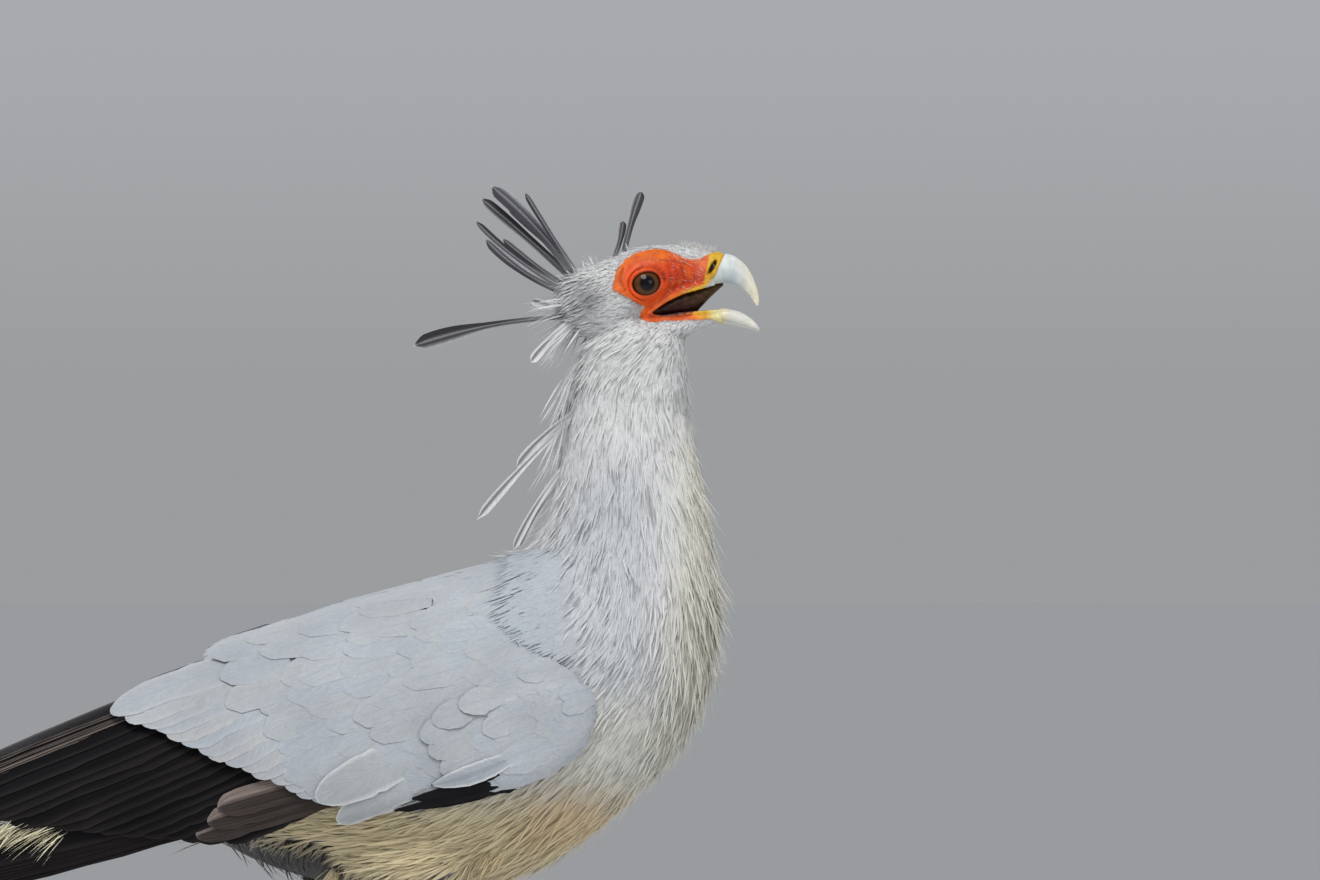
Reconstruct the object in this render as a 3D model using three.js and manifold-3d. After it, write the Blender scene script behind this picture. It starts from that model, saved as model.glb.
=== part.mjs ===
// A secretary bird at life size, standing still with its neck up and its bill open.
// Millimetres, +Z up. The bird faces +X, and its right side is towards -Y.
// The floor is Z = 0, and the origin lies on it, under the middle of the bird's outline.
import * as THREE from "three";
import { mergeVertices } from "three/addons/utils/BufferGeometryUtils.js";
import Module from "manifold-3d";

const wasm = await Module();
wasm.setup();

// Clearance between pieces that touch.
const GAP = 0.3;

// Driving stations of the neck and body, from inside the head down the neck and back to the rump.
// Each one is a section between a point on the back and one on the throat, breast or belly.
// wide: half its width across.
const BODY = [
  { backX: -1.2, backZ: 953.6, frontX: 18.8, frontZ: 943.6, wide: 19 },
  { backX: -8.8, backZ: 936.1, frontX: 51.2, frontZ: 933, wide: 24 },
  { backX: -12.5, backZ: 922.3, frontX: 55, frontZ: 921.7, wide: 26.5 },
  { backX: -17.5, backZ: 894.2, frontX: 55.6, frontZ: 893, wide: 29 },
  { backX: -24.4, backZ: 859.8, frontX: 61.9, frontZ: 856.7, wide: 35 },
  { backX: -30.6, backZ: 828.6, frontX: 69.4, frontZ: 821.1, wide: 41 },
  { backX: -38.8, backZ: 808, frontX: 73.1, frontZ: 789.2, wide: 48 },
  { backX: -50, backZ: 796.7, frontX: 74.4, frontZ: 750.5, wide: 59 },
  { backX: -67.5, backZ: 790.5, frontX: 64.4, frontZ: 700.5, wide: 69 },
  { backX: -90.6, backZ: 784.8, frontX: 28.1, frontZ: 647.3, wide: 75 },
  { backX: -125, backZ: 774.8, frontX: -34.4, frontZ: 599.8, wide: 76 },
  { backX: -168.8, backZ: 759.8, frontX: -112.5, frontZ: 581.1, wide: 74 },
  { backX: -211.2, backZ: 741.1, frontX: -187.5, frontZ: 593.6, wide: 66 },
  { backX: -250, backZ: 721.1, frontX: -246.9, frontZ: 616.1, wide: 54 },
  { backX: -292.5, backZ: 699.8, frontX: -295, frontZ: 627.3, wide: 42 },
  { backX: -334.4, backZ: 677.3, frontX: -330, frontZ: 626.1, wide: 32 },
  { backX: -367.5, backZ: 662.3, frontX: -351.9, frontZ: 621.1, wide: 23.5 },
];
// Stations at which the neck is parted from the head, from its own lower half and from the body.
const HEAD_CUT = 2;
const NECK_CUT = 4;
const CHEST_CUT = 6;

// The cranium with the upper jaw, from the nape to the slanted front of the cere.
// lean: how far the section's top leans forward, in degrees.
const CRANIUM = [
  { x: -29, z: 950, deep: 5, wide: 5, lean: 0 },
  { x: -24, z: 950, deep: 13, wide: 12.5, lean: 0 },
  { x: -13, z: 949, deep: 21.5, wide: 19.5, lean: 0 },
  { x: 0, z: 951, deep: 26.5, wide: 24.3, lean: 0 },
  { x: 13, z: 955, deep: 28.5, wide: 25.6, lean: 0 },
  { x: 25, z: 965, deep: 22.5, wide: 24, lean: 0 },
  { x: 37.5, z: 970, deep: 18.6, wide: 20.8, lean: 2 },
  { x: 50, z: 973, deep: 15.4, wide: 16.2, lean: 6 },
  { x: 61.5, z: 973.4, deep: 13.2, wide: 12.4, lean: 14 },
  { x: 71.9, z: 972.4, deep: 11.5, wide: 9.8, lean: 22.4 },
];
const UPPER_BILL = [
  { x: 72.2, z: 972.3, deep: 11.4, wide: 9.6, lean: 22.4 },
  { x: 80.3, z: 972, deep: 9.6, wide: 7.9, lean: 26 },
  { x: 87.2, z: 968.7, deep: 7, wide: 6, lean: 37 },
  { x: 91.9, z: 963.3, deep: 4.8, wide: 4.3, lean: 53 },
  { x: 95.2, z: 957.4, deep: 3.1, wide: 2.9, lean: 66 },
  { x: 97, z: 952.7, deep: 1.9, wide: 1.8, lean: 72 },
  { x: 97.9, z: 949.7, deep: 0.7, wide: 0.7, lean: 76 },
];
const JAW = [
  { x: -2, z: 931, deep: 9, wide: 15, lean: 0 },
  { x: 9.4, z: 932, deep: 10.5, wide: 21, lean: 0 },
  { x: 25, z: 933.8, deep: 10.7, wide: 19.6, lean: 0 },
  { x: 40.6, z: 935.7, deep: 10.1, wide: 15.6, lean: 0 },
  { x: 56.3, z: 938.6, deep: 7.6, wide: 11.6, lean: 0 },
  { x: 66.9, z: 941.3, deep: 5.4, wide: 9.2, lean: 0 },
  { x: 76.3, z: 942.6, deep: 4.7, wide: 7.8, lean: 0 },
];
const LOWER_BILL = [
  { x: 76.6, z: 942.6, deep: 4.7, wide: 7.7, lean: 0 },
  { x: 84.4, z: 942.8, deep: 4.7, wide: 6.6, lean: -4 },
  { x: 90.6, z: 941.5, deep: 4.7, wide: 5, lean: -20 },
  { x: 95, z: 939, deep: 3.2, wide: 3.3, lean: -36 },
  { x: 98, z: 936.3, deep: 0.9, wide: 0.9, lean: -45 },
];
// The hollow of the mouth behind the lips, one half in the palate and one in the floor.
const PALATE = [
  { x: 26, z: 943.5, deep: 2, wide: 10 },
  { x: 34, z: 949.5, deep: 4, wide: 12 },
  { x: 46, z: 955.2, deep: 4.5, wide: 10.8 },
  { x: 60, z: 959.8, deep: 4.2, wide: 8 },
  { x: 69, z: 961, deep: 2.4, wide: 5 },
];
const MOUTH_FLOOR = [
  { x: 27, z: 945, deep: 1.8, wide: 11 },
  { x: 36, z: 945.6, deep: 4.6, wide: 12.6 },
  { x: 50, z: 946.2, deep: 5, wide: 9.8 },
  { x: 66, z: 947, deep: 4, wide: 6.4 },
  { x: 74, z: 947.4, deep: 2, wide: 3.8 },
];
const TONGUE = [
  { x: 33, z: 942.2, deep: 0.8, wide: 4.4 },
  { x: 42, z: 942.6, deep: 1.4, wide: 5.2 },
  { x: 54, z: 943.2, deep: 1.2, wide: 3.6 },
  { x: 63, z: 944.8, deep: 0.5, wide: 1.2 },
];

// The eye: a ball set in a socket, with a ring of lid round it. It looks out and a little forward.
const EYE = { x: 27.3, y: 12.6, z: 963.8, radius: 11.5, opening: 9, forward: 12, back: -2 };
const LID = { ring: 10.4, depth: 8.4, thick: 1.6 };
const NOSTRIL = { x: 70.6, z: 974.6, y: 9.2, long: 4.4, slim: 1.4, deep: 2.4, lean: 24 };

// The outline of the folded wings and what they wrap, in upright slices from the breast to the wing tips.
// turn: how far round towards the middle of the belly the outline may be followed, where 1 is all the way.
const ENVELOPE = [
  { x: 25, top: 816, low: 641, wide: 66, turn: 0.965 },
  { x: 0, top: 810, low: 612, wide: 77, turn: 0.965 },
  { x: -31, top: 805, low: 591, wide: 87, turn: 0.965 },
  { x: -62, top: 799, low: 586, wide: 91, turn: 0.965 },
  { x: -94, top: 790, low: 585, wide: 92, turn: 0.965 },
  { x: -125, top: 781, low: 587, wide: 91, turn: 0.965 },
  { x: -169, top: 769, low: 588, wide: 87, turn: 0.965 },
  { x: -219, top: 754, low: 586, wide: 80, turn: 0.96 },
  { x: -250, top: 742, low: 580, wide: 76, turn: 0.95 },
  { x: -312, top: 711, low: 563, wide: 69, turn: 0.88 },
  { x: -375, top: 680, low: 545, wide: 66, turn: 0.82 },
  { x: -412, top: 663, low: 534, wide: 65, turn: 0.78 },
  { x: -469, top: 637, low: 515, wide: 64, turn: 0.74 },
  { x: -588, top: 582, low: 468, wide: 62, turn: 0.7 },
  { x: -640, top: 558, low: 446, wide: 61, turn: 0.7 },
];
const ENVELOPE_POWER = 2.4;
const UPPER_TURN = 0.965;

// Side outline of the coverts, the shield over the folded wing, from the bend of the wing backwards.
const SHIELD_TOP = [
  [0, 707], [-22, 738], [-56, 768], [-94, 776], [-137, 767], [-181, 753], [-219, 741], [-236, 733],
];
const SHIELD_LOW = [
  [0, 696], [-6, 674], [-25, 659], [-56, 646], [-94, 638], [-119, 637], [-144, 641], [-166, 647],
];
const SHIELD = { along: 12, across: 6, thickFront: 20, thickRear: 19, edge: 2.4 };

// Rows of wing feathers. from, to: middles of the first and last feather's root; tips: the same for the tips.
// depth: how far in from the outline; step: how much further in each next one lies; sink: how deep the roots dip;
// tilt: how far each lower edge stands off the feather below, in millimetres for each millimetre.
const GREATER_COVERTS = {
  count: 9, from: [-200, 722], to: [-136, 660], tipFrom: [-301, 701], tipTo: [-190, 644],
  half: 13, halfEnd: 12, depth: 0.8, step: 0, sink: 3, tilt: 0.15, thick: 0.8, bulge: 6,
};
const SECONDARIES = {
  count: 9, from: [-212, 731], to: [-150, 655], tipFrom: [-432, 640], tipTo: [-236, 617],
  half: 15, halfEnd: 12, depth: 6, step: 0, sink: 1, tilt: 0.15, thick: 0.8, bulge: 0,
};
const PRIMARIES = {
  count: 6, from: [-160, 662], to: [-140, 645], tipFrom: [-440, 598], tipTo: [-588, 541],
  half: 12, halfEnd: 10, depth: 9, step: 1.35, sink: 0, tilt: 0, thick: 0.8, bulge: 0,
};
const SCAPULARS = {
  count: 4, from: [-160, 758], to: [-160, 733], tipFrom: [-236, 738], tipTo: [-232, 711],
  half: 11, halfEnd: 12, depth: -0.9, step: 0, sink: 5, tilt: 0.1, thick: 0.8, bulge: 0,
};
// Three black feathers of the thumb below the bend of the wing, and loose coverts behind them.
const THUMB = {
  count: 3, from: [-38, 670], to: [-46, 656], tipFrom: [-106, 657], tipTo: [-129, 637],
  half: 8.5, halfEnd: 7, depth: -1.4, step: 0, sink: 6, tilt: 0.14, thick: 0.8, bulge: -4,
};
const LOOSE_COVERTS = {
  count: 2, from: [-112, 676], to: [-106, 664], tipFrom: [-188, 644], tipTo: [-166, 630],
  half: 13, halfEnd: 11, depth: -1.4, step: 0, sink: 6, tilt: 0.1, thick: 0.8, bulge: 0,
};

// The tail: twelve feathers in layers, and the two long streamers on top.
const TAIL = {
  droopStart: 21, droopEnd: 28, straight: 620,
  pairs: 6, longest: 372, shortest: 300, half: 21, thick: 0.9, layer: 1.25,
  rootStep: 1.8, splay: 0.3, streamer: 585, streamerHalf: 16, streamerSplay: 0.8,
};
const TAIL_ROOT = [
  { along: 0, deep: 20.5, wide: 23.5 },
  { along: 35, deep: 17, wide: 25 },
  { along: 80, deep: 12.5, wide: 25.5 },
  { along: 125, deep: 8.2, wide: 24 },
  { along: 150, deep: 3.2, wide: 20 },
];

// Legs. Each one is a thigh in black feathers, a bare shank and a foot with three toes in front and one behind.
const LEG_SPREAD = 46;
const LEGS = [
  { side: "right", y: -LEG_SPREAD, hip: -112, hock: -146, foot: -116 },
  { side: "left", y: LEG_SPREAD, hip: -136, hock: -190, foot: -166 },
];
const HOCK_Z = 342;
const THIGH_TOP_Z = 668;
const THIGH_END_Z = 392;
const THIGH = [
  { z: THIGH_TOP_Z, deep: 40, wide: 20, out: -14 },
  { z: 620, deep: 44, wide: 25, out: -7 },
  { z: 570, deep: 37, wide: 26.5, out: -3 },
  { z: 510, deep: 27, wide: 22, out: 0 },
  { z: 450, deep: 19.5, wide: 17, out: 0 },
  { z: 408, deep: 13.5, wide: 12.5, out: 0 },
  { z: THIGH_END_Z, deep: 9, wide: 8.5, out: 0 },
];
const SHANK = [
  { z: THIGH_END_Z - GAP, deep: 7.4, wide: 6.6 },
  { z: 366, deep: 8.6, wide: 7.2 },
  { z: HOCK_Z + 6, deep: 12, wide: 9.6 },
  { z: HOCK_Z - 8, deep: 11.8, wide: 9.4 },
  { z: 310, deep: 8.2, wide: 6.6 },
  { z: 230, deep: 6.7, wide: 5.6 },
  { z: 120, deep: 6.7, wide: 5.7 },
  { z: 60, deep: 7.8, wide: 7.2 },
  { z: 31, deep: 9.8, wide: 9.6 },
];
const TOES = [
  { name: "middle", length: 66, angle: 0, thick: 8.2, claw: 21 },
  { name: "inner", length: 44, angle: 30, thick: 7.6, claw: 21 },
  { name: "outer", length: 48, angle: -27, thick: 7.2, claw: 17 },
  { name: "hind", length: 25, angle: 171, thick: 6.8, claw: 20 },
];
const ANKLE = { z: 19, deep: 13, wide: 12.5, high: 12 };

// Crest and nape feathers: root and tip in the bird's plane, how far each stands out sideways,
// the half width of the shaft part and of the spoon, and how much the feather bows upwards.
const CREST = [
  { root: [-13, 968], tip: [-47, 1021], y: -7, slim: 1.6, spoon: 2.2, bow: -0.5 },
  { root: [-14, 966], tip: [-68, 1025], y: -3, slim: 3, spoon: 4.8, bow: 3 },
  { root: [-15, 965], tip: [-74.5, 1017.5], y: 4, slim: 2.4, spoon: 3.6, bow: 0.5 },
  { root: [-12, 967], tip: [-58, 1014], y: 11, slim: 2, spoon: 3.6, bow: 1 },
  { root: [-18, 959], tip: [-78, 1003], y: -9, slim: 1.8, spoon: 2.4, bow: -3.4 },
  { root: [-17, 959], tip: [-61, 992], y: -6, slim: 1.8, spoon: 2.4, bow: -1 },
  { root: [-19, 957], tip: [-72, 992], y: 9, slim: 2, spoon: 3, bow: -4 },
  { root: [8.5, 979], tip: [14.5, 1003], y: -6, slim: 1.5, spoon: 2.6, bow: -1 },
  { root: [14.5, 980], tip: [26, 1022], y: 3, slim: 1.8, spoon: 3.6, bow: 1 },
  { root: [-22, 943], tip: [-117, 925], y: 2, slim: 1.5, spoon: 5.4, bow: 3.6 },
  { root: [-19, 940], tip: [-43, 914.5], y: -8, slim: 2, spoon: 3.2, bow: 1 },
  { root: [-23, 946.5], tip: [-43, 953], y: 7, slim: 2, spoon: 2.8, bow: 0.5 },
];
const NAPE = [
  { root: [-12, 884], tip: [-76, 817], y: -6, slim: 1.8, spoon: 4.2, bow: 2 },
  { root: [-10, 890], tip: [-54, 866], y: 3, slim: 1.8, spoon: 4, bow: -2 },
  { root: [-10, 900], tip: [-31, 869], y: 9, slim: 1.8, spoon: 3.4, bow: 0 },
];
const LOW_NAPE = [
  { root: [-22, 850], tip: [-54, 797.5], y: -5, slim: 1.7, spoon: 2.6, bow: 2 },
  { root: [-23, 842], tip: [-50, 799], y: 6, slim: 1.7, spoon: 2.6, bow: 2 },
];

const rad = THREE.MathUtils.degToRad;
const v3 = (x, y, z) => new THREE.Vector3(x, y, z);

// The value between stations of every named size, by a smooth curve through them.
function between(stations, t) {
  const last = stations.length - 1;
  const i = Math.min(Math.floor(t), last - 1);
  const f = t - i;
  const [a, b, c, d] = [i - 1, i, i + 1, i + 2].map((k) => stations[Math.min(Math.max(k, 0), last)]);
  const value = {};
  for (const key of Object.keys(stations[0])) {
    const [p, q, r, s] = [a[key], b[key], c[key], d[key]];
    value[key] = q + 0.5 * f * (r - p + f * (2 * p - 5 * q + 4 * r - s + f * (3 * (q - r) + s - p)));
  }
  return value;
}

// An indexed geometry from points and triangles, turned so that its faces point out.
function closed(points, triangles) {
  let volume = 0;
  for (const [a, b, c] of triangles) {
    volume += points[a].dot(v3(0, 0, 0).crossVectors(points[b], points[c]));
  }
  const turned = volume < 0 ? triangles.map(([a, b, c]) => [a, c, b]) : triangles;
  const geometry = new THREE.BufferGeometry().setFromPoints(points);
  geometry.setIndex(turned.flat());
  return geometry;
}

// A closed body through rings of points, with a fan over each end.
function loft(rings) {
  const around = rings[0].length;
  const points = rings.flat();
  const triangles = [];
  for (let i = 0; i + 1 < rings.length; i += 1) {
    for (let j = 0; j < around; j += 1) {
      const k = (j + 1) % around;
      const [a, b] = [i * around + j, i * around + k];
      const [c, d] = [a + around, b + around];
      triangles.push([a, b, d], [a, d, c]);
    }
  }
  for (const [ring, forward] of [[0, false], [rings.length - 1, true]]) {
    const centre = points.length;
    const middle = v3(0, 0, 0);
    rings[ring].forEach((p) => middle.addScaledVector(p, 1 / around));
    points.push(middle);
    for (let j = 0; j < around; j += 1) {
      const [a, b] = [ring * around + j, ring * around + ((j + 1) % around)];
      triangles.push(forward ? [a, b, centre] : [b, a, centre]);
    }
  }
  return closed(points, triangles);
}

// An oval ring in a plane that holds Y and the given up direction.
function oval(centre, up, deep, wide, around) {
  return Array.from({ length: around }, (_, j) => {
    const angle = (2 * Math.PI * (j + 0.5)) / around;
    return centre.clone().addScaledVector(up, deep * Math.sin(angle)).add(v3(0, wide * Math.cos(angle), 0));
  });
}

const solid = (geometry, weld = 1e-4) => {
  const bare = new THREE.BufferGeometry().setAttribute("position", geometry.getAttribute("position"));
  const merged = mergeVertices(bare.setIndex(geometry.index), weld);
  return new wasm.Manifold(new wasm.Mesh({
    numProp: 3,
    vertProperties: new Float32Array(merged.getAttribute("position").array),
    triVerts: new Uint32Array(merged.index.array),
  }));
};
const joined = (solids) => solids.reduce((all, one) => all.add(one));

function geometryFrom(whole) {
  const mesh = whole.getMesh();
  const coordinates = [];
  for (let i = 0; i < mesh.vertProperties.length; i += mesh.numProp) {
    coordinates.push(...mesh.vertProperties.slice(i, i + 3));
  }
  const geometry = new THREE.BufferGeometry();
  geometry.setAttribute("position", new THREE.BufferAttribute(new Float32Array(coordinates), 3));
  geometry.setIndex(Array.from(mesh.triVerts));
  return geometry;
}
// The largest closed surface of a solid, with points closer than a thousandth of a millimetre made one.
function geometryOf(whole) {
  let kept = whole;
  for (let pass = 0; pass < 3; pass += 1) {
    const pieces = solid(geometryFrom(kept), 1e-3).decompose();
    kept = pieces.reduce((most, piece) => (piece.volume() > most.volume() ? piece : most));
  }
  return geometryFrom(kept);
}

// A body through stations that lean, such as the skull, the jaw and both halves of the bill.
function leaning(stations, rings, around, grow = 0) {
  return loft(Array.from({ length: rings }, (_, i) => {
    const s = between(stations, ((stations.length - 1) * i) / (rings - 1));
    const lean = rad(s.lean ?? 0);
    return oval(v3(s.x, 0, s.z), v3(Math.sin(lean), 0, Math.cos(lean)), s.deep + grow, s.wide + grow, around);
  }));
}

// Neck and body as one curve: the section at a place along it, with its up direction.
function bodySection(place) {
  const s = between(BODY, place);
  const [back, front] = [v3(s.backX, 0, s.backZ), v3(s.frontX, 0, s.frontZ)];
  const up = back.clone().sub(front);
  const deep = up.length() / 2;
  return { centre: back.add(front).multiplyScalar(0.5), up: up.normalize(), deep, wide: s.wide };
}
function bodyLength(from, to, rings, around, grow = 0, lead = 0) {
  const places = Array.from({ length: rings }, (_, i) => from + ((to - from) * i) / (rings - 1));
  if (lead) places.unshift(from - lead);
  return loft(places.map((place) => {
    const s = bodySection(place);
    return oval(s.centre, s.up, s.deep + grow, s.wide + grow, around);
  }));
}

// The folded wing's outline: how far out it lies at a place in the side view, and the direction out of it.
const envelopeX = ENVELOPE.map((s) => s.x);
function envelopeAt(x, z) {
  let i = 0;
  while (i < ENVELOPE.length - 2 && x < envelopeX[i + 1]) i += 1;
  const f = THREE.MathUtils.clamp((x - envelopeX[i]) / (envelopeX[i + 1] - envelopeX[i]), 0, 1);
  const s = between(ENVELOPE, i + f);
  const height = (z - (s.top + s.low) / 2) / ((s.top - s.low) / 2);
  const q = Math.min(Math.abs(height), height > 0 ? UPPER_TURN : s.turn);
  return s.wide * (1 - q ** ENVELOPE_POWER) ** (1 / ENVELOPE_POWER);
}
function onEnvelope(x, z, depth) {
  const step = 1.5;
  const y = envelopeAt(x, z);
  const slopeX = (envelopeAt(x + step, z) - envelopeAt(x - step, z)) / (2 * step);
  const slopeZ = (envelopeAt(x, z + step) - envelopeAt(x, z - step)) / (2 * step);
  const out = v3(-slopeX, 1, -slopeZ).normalize();
  return { at: v3(x, y, z).addScaledVector(out, -depth), out };
}

// A feather's vane: a thin strip with three points across at each station and a ridge along its shaft.
function vane(stations, thick, ridge) {
  const points = [];
  for (const { across, out } of stations) {
    const lifted = (k, lift) => points.push(across[k].clone().addScaledVector(out, lift * thick));
    lifted(0, 0.5);
    lifted(1, 0.5 + ridge);
    lifted(2, 0.5);
    lifted(2, -0.5);
    lifted(1, -0.5);
    lifted(0, -0.5);
  }
  const triangles = [];
  const quad = (a, b, c, d) => triangles.push([a, b, c], [a, c, d]);
  for (let i = 0; i + 1 < stations.length; i += 1) {
    const [a, b] = [6 * i, 6 * i + 6];
    quad(a, b, b + 1, a + 1);
    quad(a + 1, b + 1, b + 2, a + 2);
    quad(a + 2, b + 2, b + 3, a + 3);
    triangles.push([a + 3, b + 3, b + 4], [a + 3, b + 4, a + 4]);
    triangles.push([a + 4, b + 4, b + 5], [a + 4, b + 5, a + 5]);
    quad(a + 5, b + 5, b, a);
  }
  const end = 6 * (stations.length - 1);
  triangles.push([0, 1, 4], [0, 4, 5], [1, 2, 3], [1, 3, 4]);
  triangles.push([end, end + 4, end + 1], [end, end + 5, end + 4]);
  triangles.push([end + 1, end + 3, end + 2], [end + 1, end + 4, end + 3]);
  return solid(closed(points, triangles));
}
const flatAcross = (at, side, half) => [-1, 0, 1].map((k) => at.clone().addScaledVector(side, k * half));

// Share of the full half width along a wing or tail feather, from root to tip.
const VANE_SHAPE = [[0, 0.55], [0.4, 0.95], [0.78, 1], [0.94, 0.7], [1, 0.28]];
const SHORT_VANE_SHAPE = [[0, 0.6], [0.6, 1], [0.9, 0.78], [1, 0.3]];
const LONG_VANE_SHAPE = [[0, 0.55], [0.18, 0.7], [0.36, 0.85], [0.56, 1], [0.78, 1], [0.94, 0.7], [1, 0.28]];

// One feather of a wing row, following the outline of the folded wing.
function wingFeather(root, tip, half, depth, row) {
  const middle = [(root[0] + tip[0]) / 2, (root[1] + tip[1]) / 2 + row.bulge];
  const route = (f) => [0, 1].map((k) =>
    (1 - f) ** 2 * root[k] + 2 * f * (1 - f) * (2 * middle[k] - (root[k] + tip[k]) / 2) + f ** 2 * tip[k]);
  const length = Math.hypot(tip[0] - root[0], tip[1] - root[1]);
  const shape = length > 250 ? LONG_VANE_SHAPE : (length < 125 ? SHORT_VANE_SHAPE : VANE_SHAPE);
  const stations = shape.map(([f, share]) => {
    const [x, z] = route(f);
    const inward = depth + row.sink * (1 - f) ** 3;
    const { out } = onEnvelope(x, z, inward);
    const [ahead, behind] = [Math.min(f + 0.02, 1), Math.max(f - 0.02, 0)].map((g) => onEnvelope(...route(g), inward).at);
    const along = ahead.sub(behind).normalize();
    const down = v3(0, 0, 0).crossVectors(along, out).normalize();
    if (down.z > 0) down.negate();
    const across = [-1, 0, 1].map((k) => {
      const reach = k * half * share;
      return onEnvelope(x + down.x * reach, z + down.z * reach, inward - reach * row.tilt).at;
    });
    return { across, out };
  });
  return vane(stations, row.thick, 0.15);
}
function wingRow(row) {
  const mix = (a, b, f) => a.map((value, k) => value + (b[k] - value) * f);
  return Array.from({ length: row.count }, (_, i) => {
    const f = i / (row.count - 1);
    const half = row.half + (row.halfEnd - row.half) * f;
    const depth = row.depth + row.step * i;
    return wingFeather(mix(row.from, row.to, f), mix(row.tipFrom, row.tipTo, f), half, depth, row);
  });
}

// The coverts as one shield on the envelope, thick at the shoulder and thin at the rear edge.
function shield() {
  const edge = (points, u) => {
    const s = between(points.map(([x, z]) => ({ x, z })), u * (points.length - 1));
    return [s.x, s.z];
  };
  const { along, across } = SHIELD;
  const skins = [0, 1].map((inner) => {
    const points = [];
    for (let i = 0; i < along; i += 1) {
      const u = i / (along - 1);
      const [top, low] = [edge(SHIELD_TOP, u), edge(SHIELD_LOW, u)];
      for (let j = 0; j < across; j += 1) {
        const v = j / (across - 1);
        const rim = Math.min(4 * Math.min(v, 1 - v), 5 * u, 3 * (1 - u), 1);
        const sunk = SHIELD.edge * (1 - Math.sqrt(rim));
        const thick = THREE.MathUtils.lerp(SHIELD.thickFront, SHIELD.thickRear, u ** 0.7);
        const depth = inner ? thick : sunk;
        points.push(onEnvelope(top[0] + (low[0] - top[0]) * v, top[1] + (low[1] - top[1]) * v, depth).at);
      }
    }
    return points;
  });
  const points = skins.flat();
  const offset = along * across;
  const triangles = [];
  const at = (i, j, inner) => i * across + j + inner * offset;
  for (let i = 0; i + 1 < along; i += 1) {
    for (let j = 0; j + 1 < across; j += 1) {
      for (const inner of [0, 1]) {
        const corners = [at(i, j, inner), at(i + 1, j, inner), at(i + 1, j + 1, inner), at(i, j + 1, inner)];
        const [a, b, c, d] = inner ? corners.slice().reverse() : corners;
        if (inner) triangles.push([b, c, d], [b, d, a]);
        else triangles.push([a, b, c], [a, c, d]);
      }
    }
  }
  const rimLoop = [];
  for (let i = 0; i < along; i += 1) rimLoop.push([i, 0]);
  for (let j = 1; j < across; j += 1) rimLoop.push([along - 1, j]);
  for (let i = along - 2; i >= 0; i -= 1) rimLoop.push([i, across - 1]);
  for (let j = across - 2; j > 0; j -= 1) rimLoop.push([0, j]);
  rimLoop.forEach(([i, j], k) => {
    const [m, n] = rimLoop[(k + 1) % rimLoop.length];
    triangles.push([at(i, j, 0), at(i, j, 1), at(m, n, 1)], [at(i, j, 0), at(m, n, 1), at(m, n, 0)]);
  });
  return solid(closed(points, triangles));
}

// A crest feather: a slim shaft part that widens to a spoon near the tip.
// Each row: how far along, share of the slim half width, share of the spoon's half width.
const SPOON_SHAPE = [[-0.2, 0.9, 0], [0.2, 1, 0], [0.5, 0.8, 0.2], [0.75, 0.1, 0.85], [0.93, 0, 0.85], [1, 0, 0.3]];
function crestFeather({ root, tip, y, slim, spoon, bow }) {
  const along = v3(tip[0] - root[0], 0, tip[1] - root[1]);
  const length = along.length();
  along.normalize();
  const rise = v3(-along.z, 0, along.x);
  if (rise.z < 0) rise.negate();
  const sideways = y * 0.9;
  const stations = SPOON_SHAPE.map(([f, shaft, blade]) => {
    const at = v3(root[0], y * 0.55 + sideways * Math.max(f, 0), root[1]);
    at.addScaledVector(along, f * length).addScaledVector(rise, 4 * bow * Math.max(f, 0) * (1 - f));
    return { across: flatAcross(at, rise, shaft * slim + blade * spoon), out: v3(0, 1, 0) };
  });
  return vane(stations, 0.9, 0.2);
}

// The tail's axis, drooping from the rump, and the direction along it.
const rump = bodySection(BODY.length - 1).centre;
function tailAt(distance) {
  const turn = (TAIL.droopEnd - TAIL.droopStart) / TAIL.straight;
  const steps = 24;
  const place = v3(rump.x, 0, rump.z);
  for (let i = 0; i < steps; i += 1) {
    const angle = rad(TAIL.droopStart + (turn * distance * (i + 0.5)) / steps);
    place.add(v3(-Math.cos(angle), 0, -Math.sin(angle)).multiplyScalar(distance / steps));
  }
  const angle = rad(TAIL.droopStart + turn * distance);
  return { place, along: v3(-Math.cos(angle), 0, -Math.sin(angle)), up: v3(-Math.sin(angle), 0, Math.cos(angle)) };
}
function tailFeather(length, half, rootY, splay, height) {
  const start = 18;
  return vane(VANE_SHAPE.map(([f, share]) => {
    const distance = start + f * (length - start);
    const { place, up } = tailAt(distance);
    const y = rootY + Math.tan(rad(splay)) * distance;
    const at = place.addScaledVector(up, height).add(v3(0, y, 0));
    return { across: flatAcross(at, v3(0, 1, 0), half * share), out: up };
  }), TAIL.thick, 0.2);
}
function tail() {
  const root = solid(loft(Array.from({ length: 6 }, (_, i) => {
    const s = between(TAIL_ROOT, ((TAIL_ROOT.length - 1) * i) / 5);
    const { place, up } = tailAt(s.along + 3 * GAP);
    return oval(place, up, s.deep, s.wide, 12);
  })));
  const feathers = [];
  for (let k = 0; k < TAIL.pairs; k += 1) {
    const length = THREE.MathUtils.lerp(TAIL.longest, TAIL.shortest, k / (TAIL.pairs - 1));
    for (const side of [-1, 1]) {
      const height = TAIL.layer * (3 - 2 * k - (side > 0 ? 1 : 0));
      feathers.push(tailFeather(length, TAIL.half, side * TAIL.rootStep * (k + 0.5), side * TAIL.splay * (k + 0.5), height));
    }
  }
  for (const side of [-1, 1]) {
    const height = TAIL.layer * (side > 0 ? 5 : 6);
    feathers.push(tailFeather(TAIL.streamer + side * 6, TAIL.streamerHalf, side * 5, side * TAIL.streamerSplay, height));
  }
  return joined([root, ...feathers]);
}

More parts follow.
